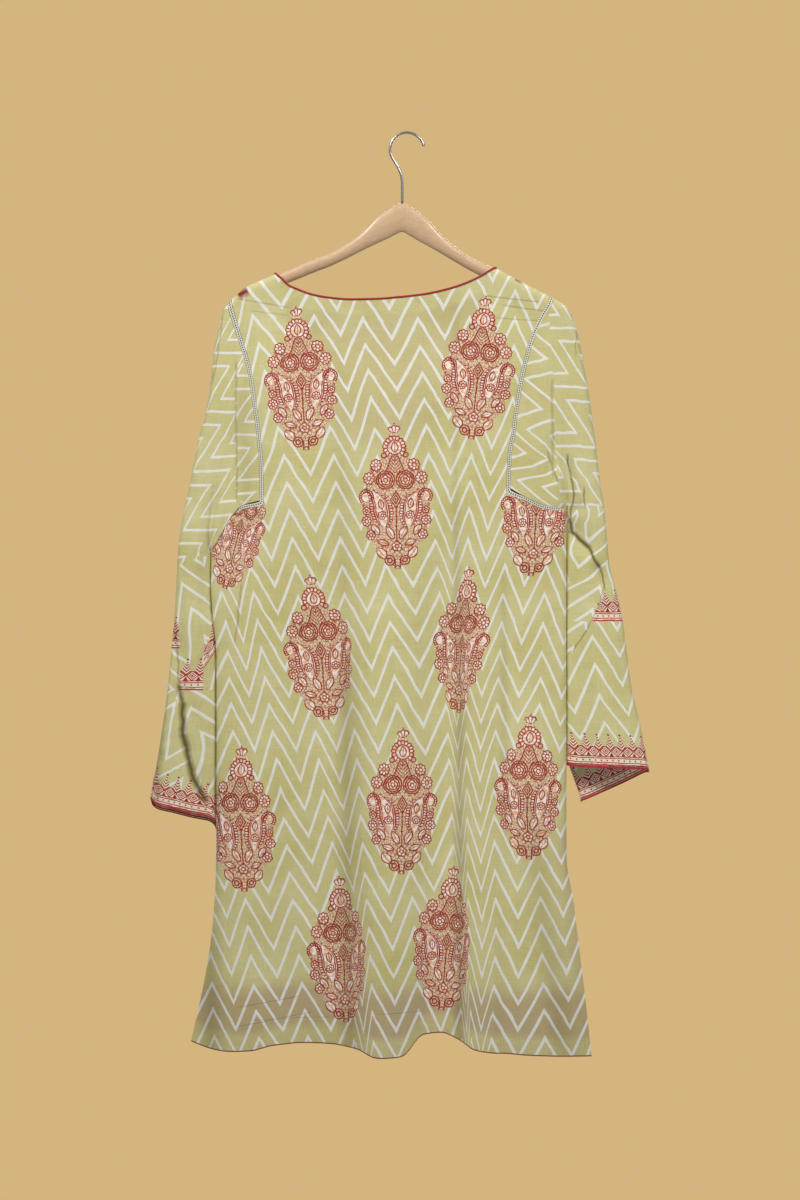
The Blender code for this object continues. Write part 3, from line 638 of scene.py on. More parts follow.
def body_place(layer, column, row):
    """On the back or front panel, or None above the under-arm step."""
    column -= BEYOND
    if 0 <= column <= CENTRE_COLUMNS:
        return centre_place(layer, column, row)
    if row < UPPER_ROWS:
        return None
    if column < 0:
        return under_arm_place(layer, LEFT, -column, row)
    return under_arm_place(layer, RIGHT, column - CENTRE_COLUMNS, row)


print("back at the waist:", [round(c, 1) for c in body_place(BACK, 17, 20)])

# %% [markdown]
# ## Sleeves
# A sleeve is a flat tube. Its columns run from the seam of the back, round the outer fold and
# back to the seam of the front. Below the under-arm the same columns close on the inner seam.


# %% Places on the upper sleeve
def tube_place(side, b, drop):
    """Across the tube, from its inner seam (b = 0) to its outer fold."""
    inner = read(SLEEVE_INNER, drop, column_of(side))
    outer = read(SLEEVE_OUTER, drop, column_of(side))
    width, r, edge = abs(outer - inner), FOLD_ROUND, TURN + FOLD_ROUND
    third = (width - 2 * r) / 3
    across = ((0, SEAM / 2), (0, TURN), (ARC_IN * r, TURN + ARC_OUT * r), (r, edge),
              (r + third, edge + 3), (r + 2 * third, edge + 3), (width - r, edge),
              (width - ARC_IN * r, ARC_OUT * edge), (width, 0))
    off, half_depth = across[b]
    return inner + outward(side) * off, half_depth


def split_column(column, per_layer):
    return (BACK, column) if column <= per_layer else (FRONT, 2 * per_layer - column)


def upper_sleeve_place(side, column, row):
    """On the upper sleeve: x, drop, signed depth, freedom; or None where it isn't cut."""
    layer, k = split_column(column, BEYOND + TUBE_COLUMNS)
    b = k - BEYOND
    under_arm = STEP[side][-1][1] - LACE_GAP
    free = 0 if k == 0 or b == TUBE_COLUMNS or (row >= UPPER_ROWS and b in (0, 1)) else 1
    if row > UPPER_ROWS:
        if b < 0:
            return None
        drop = mix(under_arm, ELBOW[side] - ELBOW_GAP / 2, (row - UPPER_ROWS) / ELBOW_ROWS[side])
        x, half_depth = tube_place(side, b, drop)
        return x, drop, layer * half_depth, free
    seam = seam_place(side, row, -LACE_GAP)
    if k == 0:
        return seam[0], seam[1], layer * seam[2] * (row > 0), 0
    sign = outward(side)
    share = k / (BEYOND + TUBE_COLUMNS)
    if b < 0:
        step_x, step_drop = step_place(side, k, -step_gap(side, layer, k))
        step_half = step_depth(side, k)
    else:
        step_x, step_half = tube_place(side, b, under_arm)
        step_drop = under_arm
    step_half = max(step_half, UNDER_ARM_DEPTH + (UNDER_ARM_SPREAD / 2 if b == 1 else 0))
    if row == UPPER_ROWS:
        return step_x, step_drop, layer * (step_half if b < TUBE_COLUMNS else 0), free * (b > 0)
    if b == 1:
        step_x += sign * UNDER_ARM_SPREAD
    corner_x = STEP[side][0][0] + sign * LACE_GAP
    outer_x = read(SLEEVE_OUTER, step_drop, column_of(side))
    f = mix(share, (step_x - corner_x) / (outer_x - corner_x), smooth(row / UPPER_ROWS))
    outer_top = max(SHOULDER_END[side], key=lambda place: sign * place[0])[0]
    drop_top = ridge(mix(ARMHOLE[side][0][1] + sign * LACE_GAP, outer_top, share))
    first = FIRST_ROWS["shoulder"]
    drop = drop_top + first[row] if row < 4 else mix(
        drop_top + first[3], step_drop, (row - 3) / (UPPER_ROWS - 3))
    outer = read(SLEEVE_OUTER, drop, column_of(side))
    x = mix(seam[0], outer, f)
    half_depth = below_ridge(ridge_depth(row), x, drop, drop - drop_top)
    half_depth *= quarter(abs(outer - x) / min(FOLD_ROUND, 0.8 * abs(outer - seam[0])))
    above = (UPPER_ROWS - row) * (STEP[side][0][1] - ARMHOLE[side][0][0]) / UPPER_ROWS
    half_depth = mix(half_depth, step_half, smooth(1 - above / GROOVE))
    if row == 0 or b == TUBE_COLUMNS:
        half_depth = 0
    return x, drop, layer * half_depth, free * smooth((drop - drop_top) / 20)


print("left sleeve's outer fold at the elbow:", round(tube_place(LEFT, 8, 690)[0], 1))


# %% Places on the lower sleeve
def lower_sleeve_place(side, column, row):
    """On the lower sleeve: x, drop, signed depth, freedom."""
    layer, b = split_column(column, TUBE_COLUMNS)
    top = ELBOW[side] + ELBOW_GAP / 2
    inner_end, outer_end, turn = CUFF[side, layer]
    across = min(max((b - 1) / (TUBE_COLUMNS - 1), 0), 1)
    if b == TUBE_COLUMNS:
        outer_end = (CUFF[side, BACK][1] + CUFF[side, FRONT][1]) / 2
    if turn:                     # the turned corner's edge still runs straight to the fold
        corner_x = tube_place(side, 1, inner_end)[0] + outward(side) * turn
        fold_x = tube_place(side, TUBE_COLUMNS - 1, outer_end)[0]
        edge_x = tube_place(side, b, outer_end)[0] + outward(side) * turn * (1 - across)
        run = min(max((edge_x - corner_x) / (fold_x - corner_x), 0), 1)
    else:
        run = across
    end = mix(inner_end, outer_end, run) - BINDING_WIDTH - CUFF_GAP
    drop = mix(top, end, row / CUFF_ROWS)
    x, half_depth = tube_place(side, b, drop)
    x += outward(side) * turn * smooth(1 - (end - drop) / CUFF_TURN_HEIGHT) * (1 - across)
    return x, drop, layer * half_depth, 0 if b in (0, 1, TUBE_COLUMNS) else 1


print("right cuff's inner corner:", [
    round(float(c), 1) for c in lower_sleeve_place(RIGHT, 0, CUFF_ROWS)])

# %% [markdown]
# ## From control points to cloth
# A smooth curve through the control points, row by row and column by column, gives a fine grid.
# Its folds are then pressed in: each line of the tables below is one soft trough or
# ridge. Last, the grid is measured along the cloth, so that a printed pattern closes up in the
# folds the way it does on real cotton.

# %% Fold tables
# x and drop of the upper end, x and drop of the lower end, half width, rise, width of cloth
# that the fold hides; a rise below 0 is a trough
BODY_FOLDS = {
    BACK: [
        (-108, 430, -116, 1180, 34, -6, 0), (-68, 380, -60, 1180, 13, -5, 14),
        (-32, 500, -24, 1180, 32, 9, 0), (42, 440, 36, 1180, 28, -10, 0),
        (68, 440, 76, 1180, 11, -3, 16), (126, 480, 128, 1000, 12, -4, 4),
        (-206, 700, -218, 1180, 36, 5, 0), (150, 660, 168, 1180, 42, 5, 0),
        # finer creases
        (-70, 400, -70, 900, 5, -1.6, 3), (-64, 820, -54, 1180, 5, -1.8, 4),
        (50, 560, 49, 960, 5, -2.2, 8), (74, 520, 75, 1180, 4, -1.8, 6),
        (58, 900, 52, 1180, 6, 2.0, 0), (-88, 470, -92, 760, 7, 1.2, 0),
        (-150, 520, -168, 980, 9, 1.4, 0), (-176, 640, -196, 1100, 7, -1.3, 2),
        (-12, 560, -20, 980, 8, -1.2, 0), (14, 620, 6, 1180, 9, 1.4, 0),
        (98, 560, 104, 1000, 8, 1.5, 0), (172, 520, 186, 980, 7, -1.2, 2),
        (112, 760, 122, 1180, 8, -1.3, 0), (-130, 800, -140, 1180, 9, -1.6, 2),
        (-128, 196, -160, 262, 9, -1.0, 0), (118, 182, 150, 250, 8, -1.1, 0),
    ],
    FRONT: [
        (-150, 430, -166, 1100, 30, -6, 0), (-96, 520, -104, 1100, 26, 7, 0),
        (-30, 460, -38, 1100, 24, -8, 6), (34, 480, 40, 1100, 30, 8, 0),
        (92, 430, 104, 1100, 22, -7, 6), (158, 640, 170, 1100, 34, 6, 0),
        (-36, 470, -44, 1100, 6, -1.8, 5), (98, 470, 108, 1100, 6, -1.6, 4),
        (-120, 560, -130, 1000, 8, 1.4, 0), (8, 560, 4, 1060, 8, -1.4, 0),
        (62, 620, 70, 1080, 9, 1.5, 0), (-176, 560, -190, 1060, 8, -1.4, 0),
        (136, 540, 148, 1000, 7, -1.3, 0), (-62, 700, -70, 1100, 7, 1.2, 0),
    ],
}
SLEEVE_FOLDS = {
    (LEFT, BACK): [
        (-286, 610, -278, 740, 9, -3.5, 6), (-278, 740, -256, 840, 9, -3.5, 6),
        (-214, 350, -212, 470, 10, -2.5, 8), (-238, 470, -270, 560, 12, 2.0, 0),
        (-262, 420, -276, 580, 8, -1.6, 0), (-232, 260, -248, 400, 8, 1.3, 0),
        (-268, 580, -262, 700, 7, 1.3, 0), (-268, 700, -250, 800, 6, -1.4, 0),
    ],
    (LEFT, FRONT): [(-262, 600, -284, 800, 12, -3.5, 6), (-230, 330, -262, 560, 10, -2, 0)],
    (RIGHT, BACK): [
        (202, 476, 232, 532, 10, -4, 10), (232, 532, 246, 575, 9, -3.5, 6),
        (181, 364, 179, 446, 5, -3.0, 12), (200, 402, 207, 446, 5, -2.6, 6),
        (217, 455, 211, 478, 5, -2.2, 3), (186, 410, 196, 462, 8, 2.4, 0),
        (204, 330, 222, 470, 9, 1.6, 0), (218, 560, 262, 620, 8, -1.8, 0),
        (232, 640, 262, 780, 9, 1.6, 0), (216, 620, 228, 740, 7, -1.4, 0),
        (196, 240, 214, 330, 8, -1.2, 0),
    ],
    (RIGHT, FRONT): [(252, 520, 228, 720, 12, -3.5, 6), (176, 330, 214, 480, 10, -2, 0)],
}
FOLD_FADE, LONG_FOLD = 0.35, 1000
RIPPLE_SEED = {BACK: 1.3, FRONT: 4.1, LEFT: 2.2, RIGHT: 5.6}
print("folds:", sum(map(len, BODY_FOLDS.values())) + sum(map(len, SLEEVE_FOLDS.values())))


# %% Folds and ripples
def press_folds(table, x, drop):
    """Rise of all folds at arrays of places, and how much cloth they hide up to each place."""
    rise, hidden = np.zeros_like(x), np.zeros_like(x)
    for x0, drop0, x1, drop1, half_width, height, hides in table:
        run, fall = x1 - x0, drop1 - drop0
        along = ((x - x0) * run + (drop - drop0) * fall) / (run * run + fall * fall)
        inside = smooth(along / FOLD_FADE)
        if drop1 < LONG_FOLD:
            inside = inside * smooth((1 - along) / FOLD_FADE)
        across = (x - x0 - run * along) / half_width
        rise += height * inside * np.exp(-across ** 2)
        hidden += hides * inside * (1 + np.tanh(1.4 * across)) / 2
    return rise, hidden


def ripple(x, drop, seed):
    """The slight unevenness of hanging voile: a few long waves that never quite repeat."""
    rise = np.zeros_like(x)
    for k in range(1, 6):
        lean = math.sin(seed * 1.7 + k * 2.3) * 0.35
        wave = (x + lean * drop) * (0.035 + 0.021 * k) + 1.9 * np.sin(drop * 0.006 * k + seed + k)
        rise += np.sin(wave + seed * k) * (0.55 / k) * (1 + 0.5 * np.sin(drop * 0.011 + k + seed))
    return rise


waist = np.linspace(-200, 150, 100)
waves = ripple(waist, 0 * waist + 560, RIPPLE_SEED[BACK])
print("ripples at the waist:", round(float(np.ptp(waves)), 2), "mm")


# %% Smooth grids
def resample(points, steps, axis):
    """A smooth curve through an array's entries along one axis, with so many steps in each gap."""
    p = np.moveaxis(points, axis, 0)
    gaps = np.diff(p, axis=0)
    product = gaps[:-1] * gaps[1:]
    total = np.where(product > 0, gaps[:-1] + gaps[1:], 1)
    slopes = np.concatenate([gaps[:1], np.where(product > 0, 2 * product / total, 0), gaps[-1:]])
    i = np.concatenate([np.repeat(np.arange(len(gaps)), steps), [len(gaps) - 1]])
    t = np.concatenate([np.arange(n) / n for n in steps] + [[1.0]])
    t = t.reshape(-1, *[1] * (p.ndim - 1))
    fine = (p[i] * (2 * t ** 3 - 3 * t ** 2 + 1) + slopes[i] * (t ** 3 - 2 * t ** 2 + t)
            + p[i + 1] * (3 * t ** 2 - 2 * t ** 3) + slopes[i + 1] * (t ** 3 - t ** 2))
    return np.moveaxis(fine, 0, axis)


def control_points(columns, rows, place):
    """Control points as an array of x, depth, drop and freedom; gaps are filled sideways."""
    found = np.full((rows + 1, columns + 1, 4), np.nan)
    for row in range(rows + 1):
        for column in range(columns + 1):
            spot = place(column, row)
            if spot is not None:
                found[row, column] = spot
    for line in found:
        known = np.flatnonzero(~np.isnan(line[:, 0]))
        first, last = known[0], known[-1]
        for k in range(first):
            line[k] = line[first] + (first - k) * (line[first] - line[first + 1])
        for k in range(last + 1, columns + 1):
            line[k] = line[last] + (k - last) * (line[last] - line[last - 1])
    return found


print("grid helpers ready")


# %% Measuring and making a sheet
def measured(across, depth, start):
    """Length along the cloth from a starting column, where only these two directions count."""
    length = np.hypot(np.diff(across, axis=1), np.diff(depth, axis=1))
    total = np.concatenate([np.zeros((len(across), 1)), np.cumsum(length, axis=1)], axis=1)
    return total - total[:, start:start + 1]


def smooth_piece(name, bm):
    """A finished bmesh as a smooth piece that rides on the hanger's body."""
    bmesh.ops.recalc_face_normals(bm, faces=bm.faces)
    piece = link_bmesh(name, bm)
    piece.data.shade_smooth()
    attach(piece, "root")
    print(name, len(piece.data.polygons), "faces")
    return piece


def lay_grid(grid):
    """A bmesh with a vertex at each of a grid of places, and each vertex's row and column."""
    rows, columns = grid.shape[0] - 1, grid.shape[1] - 1
    bm = bmesh.new()
    bmesh.ops.create_grid(bm, x_segments=columns, y_segments=rows, size=0.5)
    spots = {}
    for vertex in bm.verts:
        row, column = (0.5 - vertex.co.y) * rows, (vertex.co.x + 0.5) * columns
        spots[vertex] = round(row), round(column)
        x, depth, drop = grid[spots[vertex]]
        vertex.co = Vector((x, depth, -drop)) * MM
    return bm, spots


CLOTH_WALL = 0.5


def weave_sheet(name, grid, maps, keep=None, wall=CLOTH_WALL):
    """A sheet from a grid of places (x, depth, drop).

    maps holds UV maps as arrays of two numbers a point, in millimetres. keep says which points
    belong to the sheet, where not all do."""
    bm, spots = lay_grid(grid)
    outside = [vertex for vertex, spot in spots.items() if keep is not None and not keep[spot]]
    for map_name, values in maps.items():
        layer = bm.loops.layers.uv.new(map_name)
        for face in bm.faces:
            for loop in face.loops:
                loop[layer].uv = values[spots[loop.vert]] * MM
    bmesh.ops.delete(bm, geom=outside, context="VERTS")
    for edge in bm.edges:       # a cut edge is crisp, so light doesn't roll over it
        edge.smooth = not edge.is_boundary
    piece = smooth_piece(name, bm)
    solidify = piece.modifiers.new("wall", "SOLIDIFY")
    solidify.thickness = wall * MM
    solidify.offset = 0
    return piece


print("sheet maker ready, walls of", CLOTH_WALL, "mm")


# %% Maps of the cloth
def keep_middle(shape, rows, end):
    """Which points of a grid are kept, where so many at both ends of some rows are left out."""
    keep = np.ones(shape, bool)
    keep[rows, :end] = keep[rows, shape[1] - end:] = False
    return keep


def corners(mesh, name):
    """A UV map as an array [face, corner, 2] in millimetres."""
    flat = np.zeros(len(mesh.loops) * 2, np.float32)
    mesh.uv_layers[name].uv.foreach_get("vector", flat)
    return flat.reshape(-1, 4, 2) / MM


def corner_places(mesh):
    """Where each corner of each face is: an array [face, corner, (x, depth, drop)]."""
    spots = np.zeros(len(mesh.vertices) * 3, np.float32)
    mesh.vertices.foreach_get("co", spots)
    index = np.zeros(len(mesh.loops), np.int32)
    mesh.loops.foreach_get("vertex_index", index)
    return (spots.reshape(-1, 3)[index] / MM * (1, 1, -1)).reshape(-1, 4, 3)


def write_map(mesh, name, values):
    layer = mesh.uv_layers.get(name) or mesh.uv_layers.new(name=name)
    layer.uv.foreach_set("vector", (values * MM).astype(np.float32).ravel())


def stamp_motifs(piece, motifs):
    """A map that is measured, on each face, from the middle of the nearest printed motif.

    Each motif is the place where its middle hangs, how far it leans for each step down, the
    level above which a seam cuts it off, and how much of its width shows beside folds."""
    mesh = piece.data
    cloth, places = corners(mesh, "Cloth"), corner_places(mesh)
    middle, spots = cloth.mean(axis=1), []
    for x, drop in [motif[:2] for motif in motifs]:
        off = places - (x, 0, drop)
        nearest = np.unravel_index(np.argmin(off[..., 0] ** 2 + off[..., 2] ** 2), off.shape[:2])
        spots.append(cloth[nearest] + (-off[nearest][0], off[nearest][2]))
    spots = np.array(spots)
    cut = places[:, :, 2].mean(axis=1)[:, None] < np.array([motif[3] for motif in motifs])
    apart = ((middle[:, None] - spots[None]) ** 2).sum(axis=2) + 1e6 * cut
    nearest = np.argmin(apart, axis=1)
    off = cloth - spots[nearest][:, None]
    lean, _, shown = np.array([motif[2:] for motif in motifs])[nearest].T[..., None]
    across = (off[..., 0] + lean * off[..., 1]) / shown
    write_map(mesh, "Motif", np.stack([across, off[..., 1] - lean * off[..., 0]], -1))


print("map makers ready")

# %% [markdown]
# ### The back and the front
# Each panel is one cut piece. The pattern is measured from the middle of the panel and from the
# level of the under-arm step. A second map tells the finish how far each point is from the hem
# and whether another layer of cloth hangs behind it, because one layer of voile looks browner
# than two: where one hangs alone, a browner tan is painted into the colour.

# %% Weave the body panels
BODY_COLUMN_STEPS = [3] * BEYOND + [4] * SHOULDER_COLUMNS + [2, 3] + [5] * (NECK_COLUMNS - 5) + [
    3, 2, 2] + [4] * SHOULDER_COLUMNS + [3] * BEYOND
BODY_ROW_STEPS = [1, 2, 2] + [5] * (UPPER_ROWS - 3) + [10] * LOWER_ROWS
MIDDLE_COLUMN = sum(BODY_COLUMN_STEPS[:BEYOND + CENTRE_COLUMNS // 2])
STEP_ROW = sum(BODY_ROW_STEPS[:UPPER_ROWS])


def panel_grid(layer):
    """Fine grid of a panel, its flat measure across and up, and which points are kept."""
    coarse = control_points(CENTRE_COLUMNS + 2 * BEYOND, UPPER_ROWS + LOWER_ROWS,
                            partial(body_place, layer))
    fine = resample(resample(coarse, BODY_ROW_STEPS, 0), BODY_COLUMN_STEPS, 1)
    x, half_depth, drop, free = (fine[..., i] for i in (0, 2, 1, 3))
    rise, hidden = press_folds(BODY_FOLDS[layer], x, drop)
    half_depth = half_depth + free * (rise + ripple(x, drop, RIPPLE_SEED[layer]))
    u = measured(x, half_depth, MIDDLE_COLUMN) + x[:, MIDDLE_COLUMN][:, None]
    u = u + hidden - hidden[:, MIDDLE_COLUMN][:, None]
    v = -(measured(drop.T, half_depth.T, STEP_ROW).T + drop[STEP_ROW][None])
    keep = keep_middle(x.shape, slice(STEP_ROW), sum(BODY_COLUMN_STEPS[:BEYOND]))
    return np.stack([x, layer * half_depth, drop], -1), u, v, keep


FACING = 16                          # the facing that backs the neck edge
SINGLE_AT_NECK, SINGLE_AT_FLANK = 0.3, 0.7
FLANK = [780, 902, 1112], [196, 178, 206]    # drop, x where the back's right side shows alone
FLANK_TOP, FLANK_FADE, FLANK_BLEND, LAYER_FADE = 800, 90, 22, 30


# the share of painted see-through tan at each point of a panel
def other_layer(layer, grid):
    """0 where another panel or a facing lies behind a point, up to 1 where nothing does."""
    x, drop = grid[..., 0], grid[..., 2]
    sample = np.arange(-280, 240, 2.0)
    hem = [read(HEM[FRONT if layer == BACK else BACK], s) for s in sample]
    below_hem = smooth((drop - np.interp(x, sample, hem)) / LAYER_FADE + 0.5)
    if layer == FRONT:
        return below_hem
    neck = [neck_front_drop(s) if NECK_BACK[0][0] < s < NECK_BACK[-1][0] else 0 for s in sample]
    above = smooth((np.interp(x, sample, neck) - drop) / LAYER_FADE + 0.5)
    facing = smooth((drop - grid[:1, :, 2] - FACING) / 4)
    flank = smooth((x - np.interp(drop, *FLANK)) / FLANK_BLEND) * smooth(
        (drop - FLANK_TOP) / FLANK_FADE)
    return np.maximum.reduce([above * facing * SINGLE_AT_NECK, flank * SINGLE_AT_FLANK,
                              below_hem])


panels, grids = {}, {}
for panel_name, layer in (("back", BACK), ("front", FRONT)):
    grid, u, v, keep = panel_grid(layer)
    grids[layer] = grid
    panels[layer] = weave_sheet(panel_name + "_cloth", grid, {
        "Cloth": np.stack([u, v], -1),
        "Edge": np.stack([v - v[-1:], other_layer(layer, grid)], -1)}, keep)

# %% [markdown]
# ### The sleeves
# Upper and lower sleeve are separate pieces that meet at the elbow. The pattern is measured
# from the outer fold, towards the front on one side and towards the back on the other, so that
# it runs round the fold without a join.

# %% Weave the sleeves
TUBE_STEPS = [1, 2, 2, 4, 4, 4, 3, 3]
UPPER_COLUMN_STEPS = [3] * BEYOND + TUBE_STEPS
SLEEVE_ROW_STEPS = [1, 2, 2] + [5] * (UPPER_ROWS - 3)
ELBOW_STEPS, CUFF_STEPS, SLEEVE_RIPPLE = 8, 7, 0.8
TUCK_OVER, TUCK_MOST, TUCK_DEPTH, TUCK_REACH, TUCK_FADE = 1.0, 4, 3.4, 30, 12


def tuck_in(side, x, depth, drop):
    """Moves the inner fold of a hanging sleeve just in front of the body's side edge."""
    inner, edge = (np.interp(drop, *np.array(table)[:, [0, column_of(side)]].T)
                   for table in (SLEEVE_INNER, BODY_SIDE))
    gap = np.clip(outward(side) * (inner - edge), 0, TUCK_MOST)
    near = smooth(1 - outward(side) * (x - inner) / TUCK_REACH) * smooth(
        (drop - STEP[side][-1][1]) / TUCK_FADE + 0.5)
    return x - outward(side) * near * (gap + TUCK_OVER), depth + near * TUCK_DEPTH


def sleeve_grid(side, place, column_steps, row_steps):
    """Fine grid of a sleeve piece and its flat measure across, from the outer fold, and up."""
    both = column_steps + column_steps[::-1]
    coarse = control_points(len(both), len(row_steps), partial(place, side))
    fine = resample(resample(coarse, row_steps, 0), both, 1)
    x, drop, depth, free = (fine[..., i] for i in range(4))
    outer = sum(column_steps)
    sign = np.where(np.arange(x.shape[1]) < outer, BACK, FRONT)
    hidden = np.zeros(x.shape)
    for layer, half in ((BACK, slice(0, outer + 1)), (FRONT, slice(outer, None))):
        rise, hides = press_folds(SLEEVE_FOLDS[side, layer], x[:, half], drop[:, half])
        rise = rise + SLEEVE_RIPPLE * ripple(x[:, half], drop[:, half], RIPPLE_SEED[side] + layer)
        depth[:, half] += layer * free[:, half] * rise
        hidden[:, half] = (hides - hides[:, -1:] if layer == BACK else hides - hides[:, :1])
    u = measured(x, depth, outer) + outward(side) * np.abs(hidden) * sign
    x, depth = tuck_in(side, x, depth, drop)
    return np.stack([x, depth, drop], -1), u, -drop


def sleeve_maps(u, v):
    """The cloth's own measure, and the distance from the piece's lower edge."""
    return {"Cloth": np.stack([u, v], -1), "Edge": np.stack([v - v[-1:], 0 * v], -1)}


SEAM_ROWS = 10       # over these the lower sleeve takes up the shape of the seam
upper, lower = {}, {}
for side in (LEFT, RIGHT):
    grid, u, v = sleeve_grid(side, upper_sleeve_place, UPPER_COLUMN_STEPS,
                             SLEEVE_ROW_STEPS + [ELBOW_STEPS] * ELBOW_ROWS[side])
    step_row, corner = sum(SLEEVE_ROW_STEPS), sum(UPPER_COLUMN_STEPS[:BEYOND])
    upper[side] = weave_sheet("sleeve_upper_" + side + "_cloth", grid, sleeve_maps(u, v),
                              keep_middle(u.shape, slice(step_row + 1, None), corner))
    seam = grid[-1, corner:u.shape[1] - corner]
    grid, u, v = sleeve_grid(side, lower_sleeve_place, TUBE_STEPS, [CUFF_STEPS] * CUFF_ROWS)
    fade = smooth(1 - np.arange(len(grid)) / SEAM_ROWS)[:, None, None]
    grid += fade * (seam + (0, 0, ELBOW_GAP) - grid[0])
    grids[side] = grid
    lower[side] = weave_sheet("sleeve_lower_" + side + "_cloth", grid, sleeve_maps(u, v))

# %% [markdown]
# ### Trims
# The cuffs are bound in red, the hems are edged with dark thread, a red piping turns the neck
# edge, and ladder lace joins body and sleeve. Each trim follows the edge of the cloth that it
# is sewn to, so its points come from the grids above.


# %% Bindings and edgings
def band_below(name, edge, width, gap, thickness):
    """A narrow band that hangs straight below an edge, which is a row of places."""
    grid = np.stack([edge + (0, 0, gap + width * t) for t in (0, 0.5, 1)])
    along = measured(edge[None, :, 0], edge[None, :, 2], 0)
    u = np.repeat(along, 3, axis=0)
    v = np.repeat(np.array([[0.0], [-width / 2], [-width]]), len(edge), axis=1)
    return weave_sheet(name, grid, {"Cloth": np.stack([u, v], -1)}, wall=thickness)


EDGING_WIDTH, EDGING_GAP, EDGING_WALL, BINDING_WALL = 1.4, 0.1, 0.9, 1.1
BINDING_SHOWN = {LEFT: 0.55, RIGHT: 0.9}        # how much of its width shows
trims = {}
for panel_name, layer in (("back", BACK), ("front", FRONT)):
    trims["edging", layer] = band_below("hem_edging_" + panel_name + "_thread",
                                        grids[layer][-1], EDGING_WIDTH, EDGING_GAP,
                                        EDGING_WALL)
for side in (LEFT, RIGHT):
    trims["binding", side] = band_below("cuff_binding_" + side + "_cloth",
                                        grids[side][-1], BINDING_WIDTH * BINDING_SHOWN[side],
                                        SEAM, BINDING_WALL)

# %% [markdown]
# Lace and piping are worked out along their own path. The lace is a flat ribbon between two
# seams. The piping is a round cord, so a curve with a bevel is the quickest way to make it.


# %% Lace
LACE_WALL, LACE_COLUMNS = 0.8, 5
LACE_ROW_STEPS = [2, 2] + [6] * (UPPER_ROWS - 3)


def lace_points(side):
    """Control points along the lace: the places of its two edges, from back to front."""
    halves = {}
    for layer in (BACK, FRONT):
        path = []
        for row in range(1, UPPER_ROWS + 1):
            path.append([seam_place(side, row, reach) for reach in (LACE_HALF, -LACE_HALF)])
        k = 1
        while has_lace(side, layer, k):
            path.append([(*step_place(side, k, reach), step_depth(side, k))
                         for reach in (LACE_HALF, -LACE_HALF)])
            k += 1
        end = np.array([*step_place(side, k, 0), step_depth(side, k)])
        path.append([mix(np.array(edge), end, LACE_TUCK) for edge in path[-1]])
        path = np.array(path)[..., (0, 2, 1)] * (1, layer, 1)
        steps = LACE_ROW_STEPS + [6] * (len(path) - 1 - len(LACE_ROW_STEPS))
        halves[layer] = resample(path, steps, 0)
    return np.concatenate([halves[BACK][::-1], halves[FRONT]])


for side in (LEFT, RIGHT):
    edges = lace_points(side)
    grid = np.stack([mix(edges[:, 0], edges[:, 1], t) for t in np.linspace(0, 1, LACE_COLUMNS)],
                    1)
    middle = grid[:, LACE_COLUMNS // 2]
    along = np.concatenate([[0], np.cumsum(np.linalg.norm(np.diff(middle, axis=0), axis=1))])
    across = np.linspace(-LACE_HALF, LACE_HALF, LACE_COLUMNS)
    maps = {"Cloth": np.stack(np.broadcast_arrays(across[None], along[:, None]), -1)}
    trims["lace", side] = weave_sheet("lace_" + side + "_ladder", grid, maps, wall=LACE_WALL)


# %% Piping
SAME_SPOT = 1e-6


def cord_piece(name, places, radius, closed):
    """A round cord along places, made a mesh."""
    curve = bpy.data.curves.new(name, "CURVE")
    curve.dimensions = "3D"
    curve.bevel_depth = radius * MM
    curve.bevel_resolution = 3
    curve.use_fill_caps = True
    spline = curve.splines.new("POLY")
    spline.points.add(len(places) - 1)
    for spot, (x, depth, drop) in zip(spline.points, places):
        spot.co = (x * MM, depth * MM, -drop * MM, 1)
    spline.use_cyclic_u = closed
    maker = bpy.data.objects.new(name + "_curve", curve)
    bpy.context.scene.collection.objects.link(maker)
    mesh = bpy.data.meshes.new_from_object(maker.evaluated_get(
        bpy.context.evaluated_depsgraph_get()))
    bm = bmesh.new()
    bm.from_mesh(mesh)
    bpy.data.objects.remove(maker)
    bpy.data.meshes.remove(mesh)
    bmesh.ops.remove_doubles(bm, verts=bm.verts, dist=SAME_SPOT)
    return smooth_piece(name, bm)


PIPING_RADIUS, PIPING_GAP, SHORTEST_STEP = 1.4, 0.1, 0.1
first = sum(BODY_COLUMN_STEPS[:BEYOND + SHOULDER_COLUMNS])
last = sum(BODY_COLUMN_STEPS[:BEYOND + SHOULDER_COLUMNS + NECK_COLUMNS])
neck_edge = np.concatenate([grids[BACK][0, first:last], grids[FRONT][0, last:first:-1]])
before, after = np.roll(neck_edge, 1, axis=0), np.roll(neck_edge, -1, axis=0)
run, fall = after[:, 0] - before[:, 0], after[:, 2] - before[:, 2]
length = np.where(run < 0, -1, 1) * np.maximum(np.hypot(run, fall), SHORTEST_STEP)
inward = np.stack([fall / length, 0 * fall, -run / length], -1)
turning = np.abs(neck_edge[:, 1]) < TURN
inward[turning] = (0, 0, -1)
trims["piping"] = cord_piece("neck_piping_cord",
                             neck_edge + inward * (PIPING_RADIUS + PIPING_GAP),
                             PIPING_RADIUS, True)

# %% [markdown]
# ### The hanger
# A wishbone hanger is cut from a flat blank of wood and rounded all over, with its steel hook
# screwed into the crest. Rings along the same centre line, with many more sides than the plain
# solid has, give the wood its smooth round edges.

# %% Hanger
ARM_HALF_THICKNESS, TAPER_START, TIP_THICKNESS, ARM_SIDES = 4.8, 165, 0.5, 32
ARM_START, ARM_RINGS, CREST_RINGS = 36, 58, 35
HOOK_WIRE, HOOK_ROUND, HOOK_START, HOOK_END, HOOK_PARTS = 1.7, 21.25, 12, 220, 64
HOOK_STEM = [(-12.6, 39), (-9.4, 45.5), (-7.2, 52), (-6.2, 58.5), (CREST_X, 66),
             (CREST_X, CREST_DROP + 3)]


